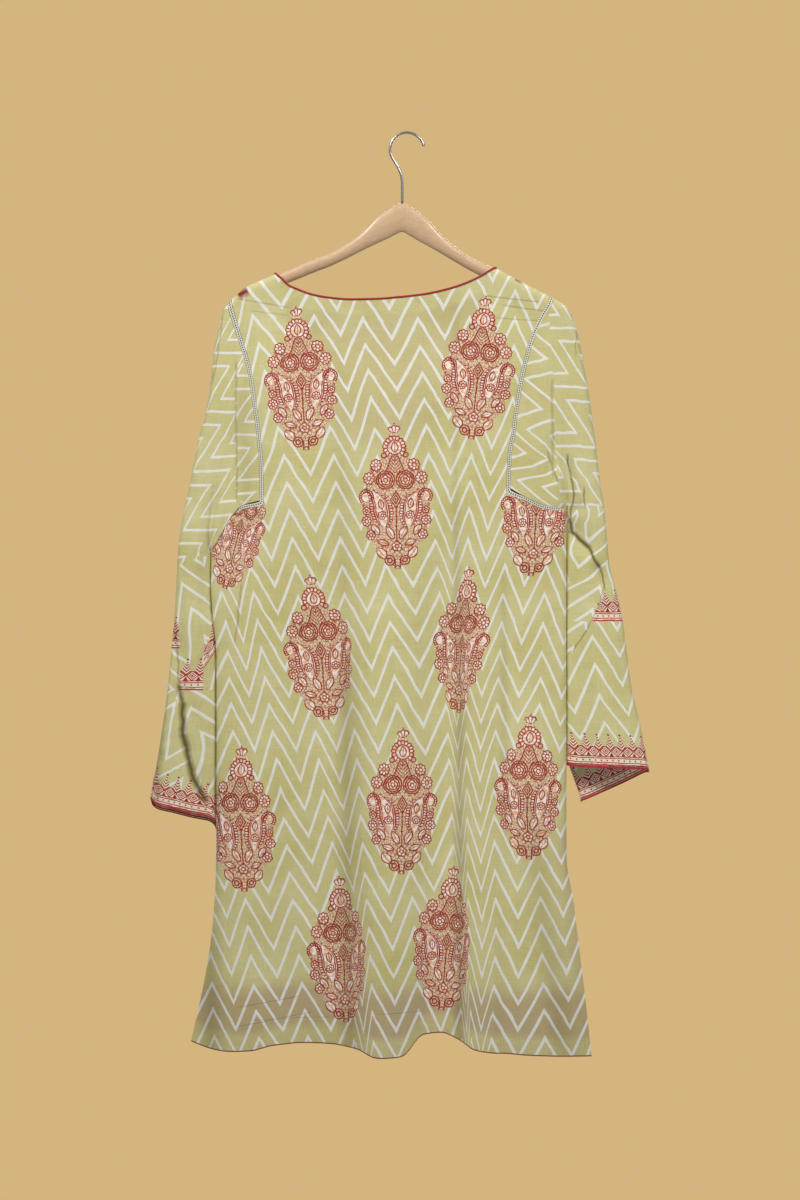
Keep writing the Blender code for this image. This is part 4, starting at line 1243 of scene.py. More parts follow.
def wood_ring(across):
    """One section of the wood, with rounded flat faces."""
    fall = CREST_DROP + TILT * across
    top, bottom = (fall + read(HANGER, abs(across), k) for k in (1, 2))
    taper = mix(1, TIP_THICKNESS, smooth((abs(across) - TAPER_START) / (ARM_TIP - TAPER_START)))
    angles = 2 * math.pi * np.arange(ARM_SIDES + 1) / ARM_SIDES
    depth = np.sin(angles) * ARM_HALF_THICKNESS * taper
    drop = (top + bottom) / 2 - np.cos(angles) * (bottom - top) / 2
    return np.stack([np.full(ARM_SIDES + 1, CREST_X + across), depth, drop], -1)


stations = np.concatenate([np.linspace(-ARM_TIP, -ARM_START, ARM_RINGS),
                           np.linspace(2 - ARM_START, ARM_START - 2, CREST_RINGS),
                           np.linspace(ARM_START, ARM_TIP, ARM_RINGS)])
bm, _ = lay_grid(np.array([wood_ring(across) for across in stations]))
bm.loops.layers.uv.new("Cloth")
bmesh.ops.remove_doubles(bm, verts=bm.verts, dist=SAME_SPOT)
bmesh.ops.holes_fill(bm, edges=[e for e in bm.edges if e.is_boundary], sides=0)
hanger_wood = smooth_piece("hanger_wood_turned", bm)

hook_places = []
for k in range(HOOK_PARTS + 1):
    angle = math.radians(mix(HOOK_START, HOOK_END, k / HOOK_PARTS))
    hook_places.append((HOOK_ROUND * math.cos(angle), 0,
                        HOOK_ROUND - HOOK_WIRE - HOOK_ROUND * math.sin(angle)))
stem = resample(np.array([hook_places[-1]] + [(x, 0, drop) for x, drop in HOOK_STEM]),
                [4] * len(HOOK_STEM), 0)
hanger_hook = cord_piece("hanger_hook_wire", hook_places + [tuple(p) for p in stem[1:]],
                         HOOK_WIRE, False)

# %% [markdown]
# ## The print
# The cloth is block printed by hand: white zigzag lines on a yellow dye, large red and orange
# flower motifs over them, and a red border at elbows and cuffs. An image would be the usual way.
# Here each motif is drawn with sums instead, so it stays sharp at any distance: a ring is "the
# distance from here to the centre is near the radius", and so on for leaves and petals.


# %% A drawing on cloth
class Drawing:
    """Lines and filled shapes, gathered on a plane that is measured in millimetres."""

    def __init__(self, finish, across, up):
        self.finish, self.across, self.up = finish, across, up
        self.spot = finish.vector(across, up, 1.0)
        self.ink, self.shade = [], []

    def side(self, a, b, c):
        """a times across, plus b times up, plus c."""
        node = self.finish.node("VectorMath", {"operation": "DOT_PRODUCT"}, {
            0: self.spot, 1: (a, b, c)})
        return self.finish.value(node, "Value")

    def frame(self, x, y, width, height, turn=0.0):
        """The plane as seen from a shape's own centre, in shares of its half size."""
        node = self.finish.node("Mapping", {"vector_type": "TEXTURE"}, {
            "Vector": self.spot, "Location": (x, y, 1), "Rotation": (0, 0, math.radians(turn)),
            "Scale": (width, height, 1)})
        return node.outputs[0]

    def parts(self, spot):
        node = self.finish.node("SeparateXYZ", None, {0: spot})
        return self.finish.value(node, 0), self.finish.value(node, 1)

    def ring(self, x, y, radius, line):
        self.draw(self.finish.distance(self.spot, (x, y)).near(radius, line))

    def draw(self, mask, within=None):
        self.ink.append(mask.both(within) if within else mask)

    def leaf(self, x, y, length, width, turn, line):
        """A pointed oval: how far out a point is, and its outline and middle vein as ink."""
        along, across = self.parts(self.frame(x, y, length, width, turn))
        out = along.math("MULTIPLY_ADD", along, across.size())
        self.draw(out.near(1, line / width))
        self.draw(across.near(0, 0.45 * line / width).both(out.below(0.8)))
        self.shade.append(out.below(1))

    def flower(self, x, y, radius, petals, line, heart=0.3, within=None, notch=0.3):
        """Petals round a heart: scalloped outline, lines between the petals, inner ring."""
        spot = self.frame(x, y, radius, radius)
        across, up = self.parts(spot)
        turn = across.math("ARCTAN2", up) * (petals / (2 * math.pi))
        petal = turn.math("PINGPONG", 0.5)
        out = self.finish.value(
            self.finish.node("VectorMath", {"operation": "LENGTH"}, {0: spot}), "Value")
        edge = out.math("MULTIPLY_ADD", 1, petal * notch)
        band = edge.near(1 - line / radius, line / radius)
        spokes = petal.above(0.5 - 0.55 * line / radius * petals / math.pi).both(
            out.above(heart)).both(edge.below(1))
        heart_ring = out.near(heart, 0.8 * line / radius)
        self.draw(band.either(spokes).either(heart_ring), within)
        inside = edge.below(1)
        self.shade.append(inside.both(within) if within else inside)

    def span(self, x0, y0, x1, y1):
        """Across a line between two places, along it from its middle, and its length."""
        run, rise = x1 - x0, y1 - y0
        length = math.hypot(run, rise)
        a, b = run / length, rise / length
        middle = (x0 + x1) / 2 * a + (y0 + y1) / 2 * b
        return self.side(-b, a, b * x0 - a * y0), self.side(a, b, -middle), length

    def stroke(self, x0, y0, x1, y1, line):
        across, along, length = self.span(x0, y0, x1, y1)
        self.draw(across.near(0, line).both(along.near(0, length / 2)))

    def soft_stroke(self, x0, drop0, x1, drop1, width, strength, taper=6):
        """A soft stroke between two places on the garment, which hangs down from 0: a mask for
        painted shade along a fold, or for a red sprig.
        """
        across, along, length = self.span(x0, -drop0, x1, -drop1)
        return across.size().soft(width * 0.6, width) * along.size().soft(
            (length + taper) / 2, taper) * strength

    def gather(self, masks):
        total = masks[0]
        for mask in masks[1:]:
            total = total.either(mask)
        return total


print("drawing tools ready")

# %% [markdown]
# ### The flower motif
# The motif is a buta, the bush of flowers and paisleys that block printers have cut for
# centuries: a fan and a crown of petals on top, roundels under it, two paisleys that curl
# outwards, and leaves and scrolls at the foot. It is the same on its left and its right, so only
# one half is drawn, on the absolute value of the distance from its middle.

# %% The motif
# Up the motif, from foot to tip: the half width of the whole, the middle of the paisley, and the
# half width of the paisley, in millimetres
MOTIF_WIDTHS = [
    (-95, 0, 15, 1), (-91, 5, 15, 1), (-84, 15, 15, 1), (-74, 24, 15, 1), (-62, 30, 15, 1),
    (-50, 37, 15, 1), (-40, 41, 15, 1), (-36, 42, 15.5, 4.5), (-30, 43, 16.5, 8),
    (-20, 44, 18, 9.5), (-10, 46, 19, 9.2), (-4, 47, 21.5, 8), (2, 47, 26, 6), (7, 45, 31.5, 3.6),
    (11, 40, 36, 1), (20, 40, 36, 1), (30, 37, 36, 1), (42, 28, 36, 1), (47, 18, 36, 1),
    (56, 17, 36, 1), (66, 16, 36, 1), (74, 10, 36, 1), (80, 9, 36, 1), (87, 7, 36, 1),
    (93, 0, 36, 1),
]
MOTIF_RANGE = 100                   # the table's numbers as shares of this, for a ramp


def motif(finish, line=0.8):
    """Ink, orange shade and outline of the flower motif."""
    across, up = finish.plane("Motif")
    spot = finish.vector(across, up)
    wobble = finish.noise(spot, 0.09, 1.0) - 0.5
    across = across + wobble * 2.6
    up = up - wobble * 3.0
    pen = Drawing(finish, across.size(), up)
    ramp = finish.node("ValToRGB", {"stops": [
        ((y + MOTIF_RANGE) / (2 * MOTIF_RANGE), (a / MOTIF_RANGE, b / MOTIF_RANGE,
                                                 c / MOTIF_RANGE, 1))
        for y, a, b, c in MOTIF_WIDTHS]}, {0: up / (2 * MOTIF_RANGE) + 0.5})
    parts = finish.node("SeparateColor", None, {0: ramp.outputs[0]})
    width, middle, half = (finish.value(parts, k) * MOTIF_RANGE for k in range(3))

    # finial, crown and the trunk with its nested V lines
    pen.draw(finish.distance(pen.spot, (0, 90)).below(1.5))
    pen.flower(0, 76, 12.5, 11, line * 1.2, 0.2, pen.side(-0.75, 1, -76.5).above(0), 0.3)
    crown = pen.side(-0.1, 1, -50).above(0)
    pen.flower(0, 60, 15.5, 17, line * 1.1, 0.58, crown, 0.22)
    pen.leaf(0, 60.5, 7, 4.2, 90, line)
    pen.ring(13.8, 50.5, 3.2, line)
    trunk = pen.side(-1, -0.42, 24.5)
    level = up.near(38, 12)
    pen.draw(trunk.near(0, line), level)
    pen.draw(pen.side(-1.1, 1, 0).repeat(4.6).below(1.5), level.both(trunk.above(0)))

    # rosettes and roundels
    pen.flower(23.5, 38.5, 8, 8, line)
    pen.flower(32.5, 22, 8.5, 9, line)
    pen.ring(12.2, 19.5, 11.2, line)
    pen.ring(12.2, 19.5, 8.6, line)
    pen.flower(12.2, 19.5, 6.8, 5, line, 0.34)
    diamond = pen.side(1, 0, 0) + pen.side(0, 0.62, 3).size()
    pen.draw(diamond.near(6.6, line * 1.1).either(diamond.near(3.6, line)).either(
        diamond.below(1.4)))
    pen.draw(pen.side(1, 0, 0).near(0, line), up.near(-34, 22))

    # paisleys
    out = (across.size() - middle) / half
    body = half.above(2.4)
    pen.draw(out.size().near(1, 0.1).either(out.size().near(0.74, 0.075)), body)
    teeth = up.repeat(3.3).below(1.5)
    pen.draw(teeth.both(out.size().near(1.24, 0.17)), body)
    pen.draw(out.size().near(1.46, 0.05), body)
    pen.shade.append(out.size().below(1.42).both(body))
    pen.flower(17.5, -24, 6, 7, line * 0.9, 0.3)
    pen.leaf(18.5, -10, 6.5, 3.2, 80, line * 0.9)
    curl = pen.side(0.25, 1, -3).above(0)
    pen.flower(36.5, -1, 10.2, 17, line, 0.62, curl, 0.1)

    # side sprays, leaves, buds and scrolls
    pen.flower(37, -18, 5.6, 5, line)
    pen.flower(37, -31, 7, 8, line)
    pen.leaf(26, -42, 8, 4.2, 55, line)
    pen.flower(32, -48, 7, 7, line)
    pen.leaf(8, -46, 9, 4.2, 62, line)
    pen.leaf(17, -58, 8, 3.4, 20, line)
    pen.flower(0, -63, 7, 5, line)
    pen.leaf(19, -71, 9, 5.2, 50, line)
    pen.ring(9.5, -80, 6, line)
    pen.ring(9.5, -80, 3, line)
    pen.stroke(3, -78, 3, -91, line)

    ink = pen.gather(pen.ink)
    shade = pen.gather(pen.shade)
    inside = (width - across.size() + finish.noise(spot, 0.22, 1.0) * 8).above(7)
    web = finish.node("TexVoronoi", {"feature": "DISTANCE_TO_EDGE"}, {
        "Vector": finish.vector(pen.across * 1.3, pen.up), "Scale": 0.27})
    filler = finish.value(web).below(0.075).both(inside).both(1 - shade)
    return ink.either(filler * 0.85), shade, inside.either(ink)


print("motif:", MOTIF_WIDTHS[-1][0] - MOTIF_WIDTHS[0][0], "mm tall")

# %% [markdown]
# ### The border
# The border is a row of diamonds between red triangles, with a dotted band under it and a spike
# of nested V lines over each gap. One repeat is drawn, folded on its middle with a triangle wave.

# %% The border
BORDER_REPEAT = 14.2


def border(finish, along, up):
    """Ink, orange shade and outline of the border; up is the distance from the cloth's edge."""
    half = BORDER_REPEAT / 2
    wobble = finish.noise(finish.vector(along, up), 0.07, 1.0) - 0.5
    along = along + wobble * 2
    up = up + wobble * 1.6
    from_diamond = along.zigzag(BORDER_REPEAT)
    from_spike = half - from_diamond
    lines = up.near(1, 0.9).either(up.near(3.9, 0.6)).either(up.near(9.4, 0.6)).either(
        up.near(11.6, 0.6))
    dots = finish.distance(finish.vector(along.zigzag(7.1), up), (0, 6.7)).below(1.05)
    diamond = from_diamond / half + (up - 18.2).size() / 6.6
    middle = diamond.near(0.92, 0.13).either(diamond.near(0.5, 0.09)).either(diamond.below(0.25))
    triangle = (from_spike * 1.9 + up).below(17.2).both(up.above(12.2))
    above = (diamond.above(1.06)).both(up.above(18.2))
    spike = (from_spike * 2.5 + up).below(38)
    spike_lines = (up - from_spike * 0.95).repeat(3.7).below(1.85)
    tip = finish.distance(finish.vector(from_spike, up), (0, 38.4)).below(1.35)
    ink = lines.either(dots).either(middle).either(triangle).either(tip).either(
        above.both(spike).both(spike_lines))
    shade = diamond.near(0.41, 0.06).either(up.near(10.4, 1)).either(up.near(2.4, 1))
    on = up.above(0)
    inside = up.below(18).either(diamond.below(1.1)).either(spike).either(tip).both(on)
    return ink.both(on), shade.both(on), inside


print("border repeats every", BORDER_REPEAT, "mm")

# %% [markdown]
# ### Zigzag lines
# The white lines were blocked out by hand before the dye went on. They follow the grain of the
# cloth, and the grain leans where the panel hangs in folds: on the back it runs towards a deep
# fold right of the middle. So the print is laid along grain lines, each given by its place at a
# few levels. A sleeve is cut with the zigzags turned on their side, and where a fold of the
# sleeve laps over, the print jumps, so its map is stamped face by face.

# %% The grain of the back
ZIG_ACROSS, ZIG_HEIGHT, ZIG_PITCH, ZIG_SHIFT = 65.0, 58.0, 34.5, -5.0
PEAK = 11.25         # height on the print's plane of a peak at 0 across
GRAIN_LEVELS = [200, 400, 600, 800, 1000, 1150]
GRAIN = [
    (-345, -315, -290, -268, -246, -238), (-300, -262, -226, -213, -197, -181),
    (-250, -212, -188, -159, -137, -120), (-199, -153, -133, -107, -73, -63),
    (-120, -91, -76, -61, -47, -41), (-59, -37, -22, -5, 10, 17), (11, 27, 43, 54, 64, 70),
    (78, 80, 72, 74, 76, 80), (135, 130, 118, 107, 110, 103), (190, 180, 170, 161, 167, 172),
    (250, 235, 224, 216, 224, 238),
]
GRAIN_STEP, GRAIN_FIRST = 60.0, -4


def along_grain(places):
    """How many grain lines lie left of each place on the back."""
    x, drop = places[..., 0], places[..., 2]
    lines = [np.interp(drop, GRAIN_LEVELS, line) for line in GRAIN]
    count = GRAIN_FIRST + np.minimum(0, (x - lines[0]) / GRAIN_STEP) + np.maximum(
        0, (x - lines[-1]) / GRAIN_STEP)
    for near, far in zip(lines, lines[1:]):
        count = count + np.clip((x - near) / (far - near), 0, 1)
    return count


print("grain lines across the back:", len(GRAIN))


# %% The print's plane on a sleeve
def turn_print(cloth, angle, stretch):
    """The print's plane for cloth that was cut at an angle, and for how much its folds hide."""
    a, b = np.cos(np.radians(angle)), np.sin(np.radians(angle))
    across, up = cloth[..., 0] * stretch, cloth[..., 1]
    return np.stack([across * a + up * b, up * a - across * b], -1)


def right_of(x, drop, x0, drop0, x1, drop1):
    """Which places lie to the right of a line that runs down between two others."""
    return (x - x0) * (drop1 - drop0) > (drop - drop0) * (x1 - x0)


def middles(piece):
    """The middle of each face: its x, its drop, and whether it is on the side that shows."""
    middle = corner_places(piece.data).mean(axis=1)
    return middle[:, 0], middle[:, 2], middle[:, 1] < BEHIND


BEHIND = 1.5      # depth that parts the side of a sleeve that shows from the side that does not


def stamp_print(piece, zones=(), raised=0):
    """Print map of a sleeve piece, zone by zone, and how far the border moves up on each face.

    A zone is which faces, the angle of the print, how much its folds hide, and the x and drop
    of one peak of a zigzag."""
    mesh = piece.data
    cloth, edge, places = corners(mesh, "Cloth"), corners(mesh, "Edge"), corner_places(mesh)
    printed, away = cloth.copy(), places[..., 1].mean(axis=1) > BEHIND
    mirror = np.sign(np.corrcoef(cloth[~away][:, 0, 0], places[~away][:, 0, 0])[0, 1])
    for faces, angle, stretch, (x, drop) in zones:
        off = np.hypot(places[..., 0] - x, places[..., 2] - drop) + 1000 * away[:, None]
        peak = cloth[np.unravel_index(np.argmin(off), off.shape)]
        turned = turn_print((cloth - peak) * (mirror, 1), angle, stretch)
        printed[faces] = turned[faces] + (0, PEAK)
    write_map(mesh, "Print", printed)
    edge[..., 0] -= raised
    write_map(mesh, "Edge", edge)
    print("print laid on", piece.name, "in", len(zones), "zones, mirror", mirror)


print("sleeve print ready")


# %% Zigzag lines
def zigzag_lines(finish, line):
    """White lines that climb and fall once over each repeat."""
    across, up = finish.plane("Print")
    spot = finish.vector(across, up)
    drift = finish.noise(spot, 0.010, 1.0) - 0.5
    tremble = finish.noise(spot, 0.055, 2.0) - 0.5
    x = across + tremble * 2.4
    y = up + drift * 16 + tremble * 3 + ZIG_SHIFT
    height = (x + ZIG_ACROSS / 2).zigzag(ZIG_ACROSS) * (ZIG_HEIGHT * 2 / ZIG_ACROSS)
    row = (y - height).repeat(ZIG_PITCH)
    off = (row - ZIG_PITCH / 2).size() + tremble * 2.0
    return off.soft(line, 0.9)


print("zigzags:", ZIG_ACROSS, "mm across,", ZIG_PITCH, "mm apart")

# %% [markdown]
# ### The voile
# Cotton voile is thin and plain woven: its dye pools a little along the threads, thicker threads
# show as fine streaks, and where one layer hangs alone the light comes through and the yellow
# turns to a greyish tan, which is painted into the colour. One function builds this finish: the
# body and each part of the sleeve ask for the print that was cut into them, and the back and the
# sleeves for painted shade along their folds.

# %% Voile
YELLOW, YELLOW_DEEP, YELLOW_PALE = linear(207, 201, 146), linear(193, 183, 119), linear(
    214, 210, 164)
# on the next line, the first colour is a painted see-through tan and the last is painted shade for
# folds
PAINTED_SEE_THROUGH, CHALK, PAINTED_FOLD_SHADE = linear(172, 146, 120), linear(230, 230, 227), linear(92, 78, 34)
BORDER_GROUND, BORDER_INK = linear(238, 226, 206), linear(164, 32, 36)
PEACH, ORANGE, PINK_WHITE = linear(232, 206, 176), linear(228, 178, 142), linear(242, 232, 224)
BRICK, BRICK_DARK = linear(174, 46, 40), linear(126, 31, 30)
HEM_TURN, STRENGTH_SINGLE = 22.0, 0.62


def opaque(colour):
    return (*colour, 1.0)


def voile(name, motifs=False, edge=None, shade_strokes=(), sprigs=()):
    """Printed cotton voile. edge is "border" where the piece ends in the printed border and
    "hem" where it ends in a sewn turn-up. The strokes of folds on the back paint shade into the
    colour, and sprigs are strokes in red where a motif of the front laps over the shoulder."""
    finish = Finish(name, YELLOW, 0.86)
    across, up = finish.plane("Cloth")
    from_edge, single = finish.plane("Edge")
    spot = finish.vector(across, up)

    pools = finish.noise(spot, 0.014, 3.0)
    warp = finish.noise(finish.vector(across * 1.3, up * 0.04), 1.0, 2.0)
    weft = finish.noise(finish.vector(across * 0.04, up * 1.3), 1.0, 2.0)
    threads = warp + weft - 1
    colour = finish.mix((pools - 0.5) * 1.3 + threads * 0.9 + 0.35, opaque(YELLOW_DEEP),
                        opaque(YELLOW_PALE))
    # painted see-through light: a greyish tan where one layer hangs alone, fading where the
    # turned-up hem doubles the cloth
    if edge == "hem":
        single = single.both(from_edge.soft(HEM_TURN, 10) * -0.75 + 1).both(pools * 0.6 + 0.7)
    colour = finish.mix(single * STRENGTH_SINGLE, colour, opaque(PAINTED_SEE_THROUGH))
    white = zigzag_lines(finish, 3.7 if motifs else 3.2)
    patchy = finish.noise(spot, 0.12, 2.0)

    drawn = []
    if edge == "border":
        drawn.append((border(finish, across, from_edge), BORDER_GROUND, opaque(BORDER_INK), 0.8))
    if motifs:
        red = finish.mix(pools, opaque(BRICK_DARK), opaque(BRICK))
        drawn.append((motif(finish), PEACH, red, 0.7))
    for (_, _, whole), _, _, _ in drawn:
        white = white.both(1 - whole)
    colour = finish.mix(white * (0.98 - patchy * 0.25), colour, opaque(CHALK))
    if edge == "hem":
        stitches = from_edge.near(HEM_TURN - 1, 0.35).both(across.repeat(2.8).below(1.9))
        colour = finish.mix(stitches * 0.35, colour, opaque(YELLOW_DEEP))
    for (pen, fill, whole), ground, ink, strength in drawn:
        colour = finish.mix(whole * strength, colour, opaque(ground))
        bare = finish.noise(spot, 0.2, 2.0).soft(0.5, 0.05)
        colour = finish.mix(fill * (0.85 - bare * 0.85), colour, opaque(ORANGE))
        colour = finish.mix(fill.both(bare) * 0.9, colour, opaque(PINK_WHITE))
        colour = finish.mix(pen * (1.12 - patchy * 0.3), colour, ink)

    crumple = finish.noise(spot, 0.05, 3.0)
    grain = (across * (math.pi / 0.55)).math("SINE") * (up * (math.pi / 0.55)).math("SINE")
    height = crumple * 1.6 + threads * 0.12 + grain * 0.05
    # painted shade: soft dark strokes along the folds on the back darken the colour and dip the
    # bump; the red sprigs after them are print
    if shade_strokes:
        x, depth, z = finish.own_place()
        wander = (crumple - 0.5) * 7
        pen = Drawing(finish, x + wander, z)
        dark = pen.gather([pen.soft_stroke(*stroke) for stroke in shade_strokes]).both(depth.below(BEHIND))
        colour = finish.mix(dark, colour, opaque(PAINTED_FOLD_SHADE))
        height = height - dark * 1.5
        for stroke in sprigs:
            colour = finish.mix(pen.soft_stroke(*stroke), colour, opaque(BRICK_DARK))

    finish.set("Base Color", colour)
    finish.set("Roughness", 0.88 - white * 0.06)
    finish.bump(height, 0.0012, 0.55)
    finish.shader.inputs["Sheen Weight"].default_value = 0.08
    finish.shader.inputs["Specular IOR Level"].default_value = 0.25
    print(name, len(finish.tree.nodes), "nodes")
    return finish.material


print("voile ready")

# %% The print of the body
# Where the middle of each motif hangs, its lean, the level of the seam that cuts it off, and how
# much of its width shows
MOTIFS = {
    BACK: [(-132, 306, 0.076, 0, 1), (89, 293, -0.106, 0, 1), (-14, 453, 0.027, 0, 1),
           (-207, 487, -0.34, 462, 0.68), (161, 462, 0.01, 452, 1), (-108, 641, 0.078, 0, 1),
           (68, 632, -0.022, 0, 1), (-207, 854, 0, 0, 1), (-6, 831, -0.013, 0, 1),
           (150, 814, -0.042, 0, 1), (-79, 1015, 0.056, 0, 1), (50, 1002, -0.1, 0, 1)],
    FRONT: [(x + (110 if row % 2 else 0), drop, 0, 0, 1) for row, drop in enumerate(
        (265, 452, 640, 827, 1015)) for x in (-335, -115, 105, 325)],
}
# Strokes of painted shade along the soft and sharp folds of the back: x and drop of both ends,
# width, strength, taper
BODY_FOLD_SHADE = [
    (60, 250, 60, 582, 7, 0.12, 60), (61, 500, 66, 790, 8, 0.22, 60),
    (66, 740, 65, 1150, 9, 0.36, 90),
    (-82, 420, -74, 764, 15, 0.1, 60), (-75, 690, -70, 1150, 17, 0.34, 140),
    (-250, 850, -243, 1150, 18, 0.36, 120), (121, 590, 122, 860, 8, 0.12, 60),
    (158, 890, 192, 1130, 20, 0.2, 90), (-207, 566, -213, 634, 1.5, 0.4, 6),
    (100, 204, 160, 211, 1.6, 0.3), (122, 216, 172, 223, 1.6, 0.3), (104, 231, 166, 235, 1.4, 0.25),
    (-208, 208, -150, 218, 1.6, 0.25), (-190, 223, -150, 228, 1.4, 0.2),
    (-207, 1088, -140, 1076, 1.2, 0.25), (-204, 1111, -121, 1095, 1.2, 0.25),
    (-190, 1104, -96, 1100, 1.0, 0.2), (-34, 1095, 16, 1092, 1.2, 0.2),
]
BODY_SPRIGS = [(-209, 202, -200, 197, 8, 1, 3), (137, 181, 143, 184, 5, 1, 3)]
for layer, panel_name in ((BACK, "back"), (FRONT, "front")):
    mesh = panels[layer].data
    stamp_motifs(panels[layer], MOTIFS[layer])
    printed = corners(mesh, "Cloth")
    if layer == BACK:
        printed[..., 0] = ZIG_ACROSS * along_grain(corner_places(mesh))
    write_map(mesh, "Print", printed)
    mesh.materials.append(voile("voile_" + panel_name, motifs=True, edge="hem",
                                shade_strokes=BODY_FOLD_SHADE if layer == BACK else (),
                                sprigs=BODY_SPRIGS if layer == BACK else ()))

# %% The print of the sleeves
# Strokes of painted shade along the folds of the sleeves: x and drop of both ends, width, strength,
# taper
SLEEVE_FOLD_SHADE = [
    (181, 311, 182, 425, 2.6, 0.32), (176, 401, 187, 434, 1.4, 0.5), (200, 405, 208, 449, 1.8, 0.7),
    (208, 449, 204, 482, 1.8, 0.7), (203, 482, 206, 498, 3.2, 0.9), (206, 498, 226, 517, 4.0, 0.95),
    (226, 517, 240, 542, 3.0, 0.9), (240, 542, 247, 567, 1.8, 0.7), (247, 567, 229, 612, 1.1, 0.3),
    (229, 612, 210, 643, 1.3, 0.5), (220, 446, 222, 464, 1.6, 0.6),
    (-288, 614, -285, 690, 1.8, 0.5), (-285, 690, -280, 712, 4.5, 0.85),
    (-280, 712, -279, 750, 6.0, 0.95), (-279, 750, -268, 798, 6.4, 0.95),
    (-268, 798, -253, 832, 6.0, 0.95), (-229, 560, -224, 610, 1.3, 0.6),
    (-224, 610, -214, 622, 1.3, 0.5),
    (-213, 290, -212, 455, 2.2, 0.35), (-300, 600, -312, 830, 7, 0.4, 40),
    (-203, 330, -200, 455, 16, 0.14, 40), (-230, 232, -238, 290, 1.3, 0.4),
    (-238, 290, -244, 312, 1.3, 0.4), (212, 248, 210, 275, 1.2, 0.4),
]
# The print lies on its side above the folds of the elbow and leans in the folds below. Folds
# also lift the elbow border, and on the left it climbs beyond the inner fold
ELBOW_X, ELBOW_DROP, ELBOW_LEAN, ELBOW_RIGHT = -288, 541, 0.41, 464
LAP_LEFT, LAP_TOP, LAP_FOOT = -213, 290, 462
OUTER_FOLD, OUTER_LIFT, INNER_FOLD, INNER_LIFT, INNER_CLIMB = -284, 52, -254, 26, 1.5
NO_BORDER = -1000
x, drop, behind = middles(upper[LEFT])
above = drop < ELBOW_DROP - (x - ELBOW_X) * ELBOW_LEAN
lift = np.where(x < OUTER_FOLD, OUTER_LIFT, np.where(x > INNER_FOLD, INNER_LIFT, 0)) * behind
climb = np.where(behind & (x > INNER_FOLD), INNER_CLIMB, 0)
stamp_print(upper[LEFT], [
    (above, -60, 1.4, (-223, 422)), (~above, 25, 1.1, (-267, 595)),
    (behind & (x > LAP_LEFT) & (drop > LAP_TOP) & (drop < LAP_FOOT), -60, 1.2, (-194, 450)),
], lift[:, None] + climb[:, None] * (corner_places(upper[LEFT].data)[..., 0] - INNER_FOLD))
x, drop, behind = middles(upper[RIGHT])
beside = ~right_of(x, drop, 181, 300, 190, 470)
inner = ~right_of(x, drop, 247, 567, 229, 612)
stamp_print(upper[RIGHT], [
    (drop <= ELBOW_RIGHT, 60, 1.2, (201, 335)), (drop > ELBOW_RIGHT, -28, 1.0, (213, 474)),
    (behind & beside & (drop < ELBOW_RIGHT), 76, 1.0, (149, 306)),
], np.where(behind & inner, NO_BORDER, 0)[:, None])
x, drop, behind = middles(lower[LEFT])
flap = behind & right_of(x, drop, -279, 740, -254, 829)
stamp_print(lower[LEFT], [(~flap, -28, 1.0, (-289, 713)), (flap, 28, 1.0, (-255, 748))])
x, drop, behind = middles(lower[RIGHT])
inner = behind & ~right_of(x, drop, 229, 612, 210, 643) & (drop < 650)
stamp_print(lower[RIGHT], [(~inner, -2, 1.0, (236, 664)), (inner, -28, 1.0, (221, 593))])

upper_voile = voile("voile_upper_sleeve", edge="border", shade_strokes=SLEEVE_FOLD_SHADE)
lower_voile = voile("voile_lower_sleeve", edge="border", shade_strokes=SLEEVE_FOLD_SHADE)
for side in (LEFT, RIGHT):
    upper[side].data.materials.append(upper_voile)
    lower[side].data.materials.append(lower_voile)

# %% [markdown]
# ### Trims, wood and steel
# The red bindings are the same thin cotton cut on the bias, so a fine slanting rib crosses them.
# The ladder lace is white thread with a hole between each pair of rungs, and the holes are painted
# dark as the shade seen through them. The hanger is turned beech under a clear lacquer, and its
# hook is plated steel wire.

# %% Trim finishes
RED_BIAS, RED_CORD, HEM_THREAD, LACE_THREAD, LACE_HOLE_SHADE = (
    linear(190, 40, 58), linear(186, 46, 46), linear(160, 92, 78), linear(232, 232, 224),
    linear(62, 60, 66))


def ribbed(name, colour, deep, rib):
    """A cotton trim with slanting ribs."""
    finish = Finish(name, colour, 0.8)
    x, y, z = finish.own_place()
    slant = ((x + z + y * 0.5) * (math.pi / rib)).math("SINE") * 0.5 + 0.5
    mottle = finish.noise(finish.vector(x, y, z), 0.09, 3.0)
    finish.set("Base Color", finish.mix(slant * 0.3 + mottle * 0.5, opaque(colour), opaque(deep)))
    finish.set("Roughness", 0.74 + mottle * 0.2)
    finish.bump(slant + mottle, 0.0003, 0.5)
    finish.shader.inputs["Sheen Weight"].default_value = 0.1
    return finish.material


binding_cloth = ribbed("red_binding", RED_BIAS, linear(120, 30, 44), 0.9)
piping_cloth = ribbed("red_piping", RED_CORD, linear(120, 26, 30), 0.8)
edging_thread = ribbed("hem_thread", HEM_THREAD, linear(70, 26, 26), 0.7)

lace_finish = Finish("ladder_lace", LACE_THREAD, 0.75)
across, along = lace_finish.plane("Cloth")
hole = along.repeat(2.9).near(1.45, 0.85).both(across.size().below(0.9))
fray = lace_finish.noise(lace_finish.vector(across, along), 0.5, 2.0)
# the holes are painted shade: a dark colour for the gap seen through the lace
thread = lace_finish.mix(hole * 0.9 + fray * 0.1, opaque(LACE_THREAD), opaque(LACE_HOLE_SHADE))
rim = 1 - across.size().soft(1.6, 0.3)
lace_finish.set("Base Color", lace_finish.mix(rim, thread, opaque(YELLOW)))
lace_finish.set("Roughness", 0.7 + hole * 0.2)
lace_finish.bump(1 - hole + (across * 2.6).math("COSINE") * 0.3 + fray * 0.3, 0.0004, 0.8)

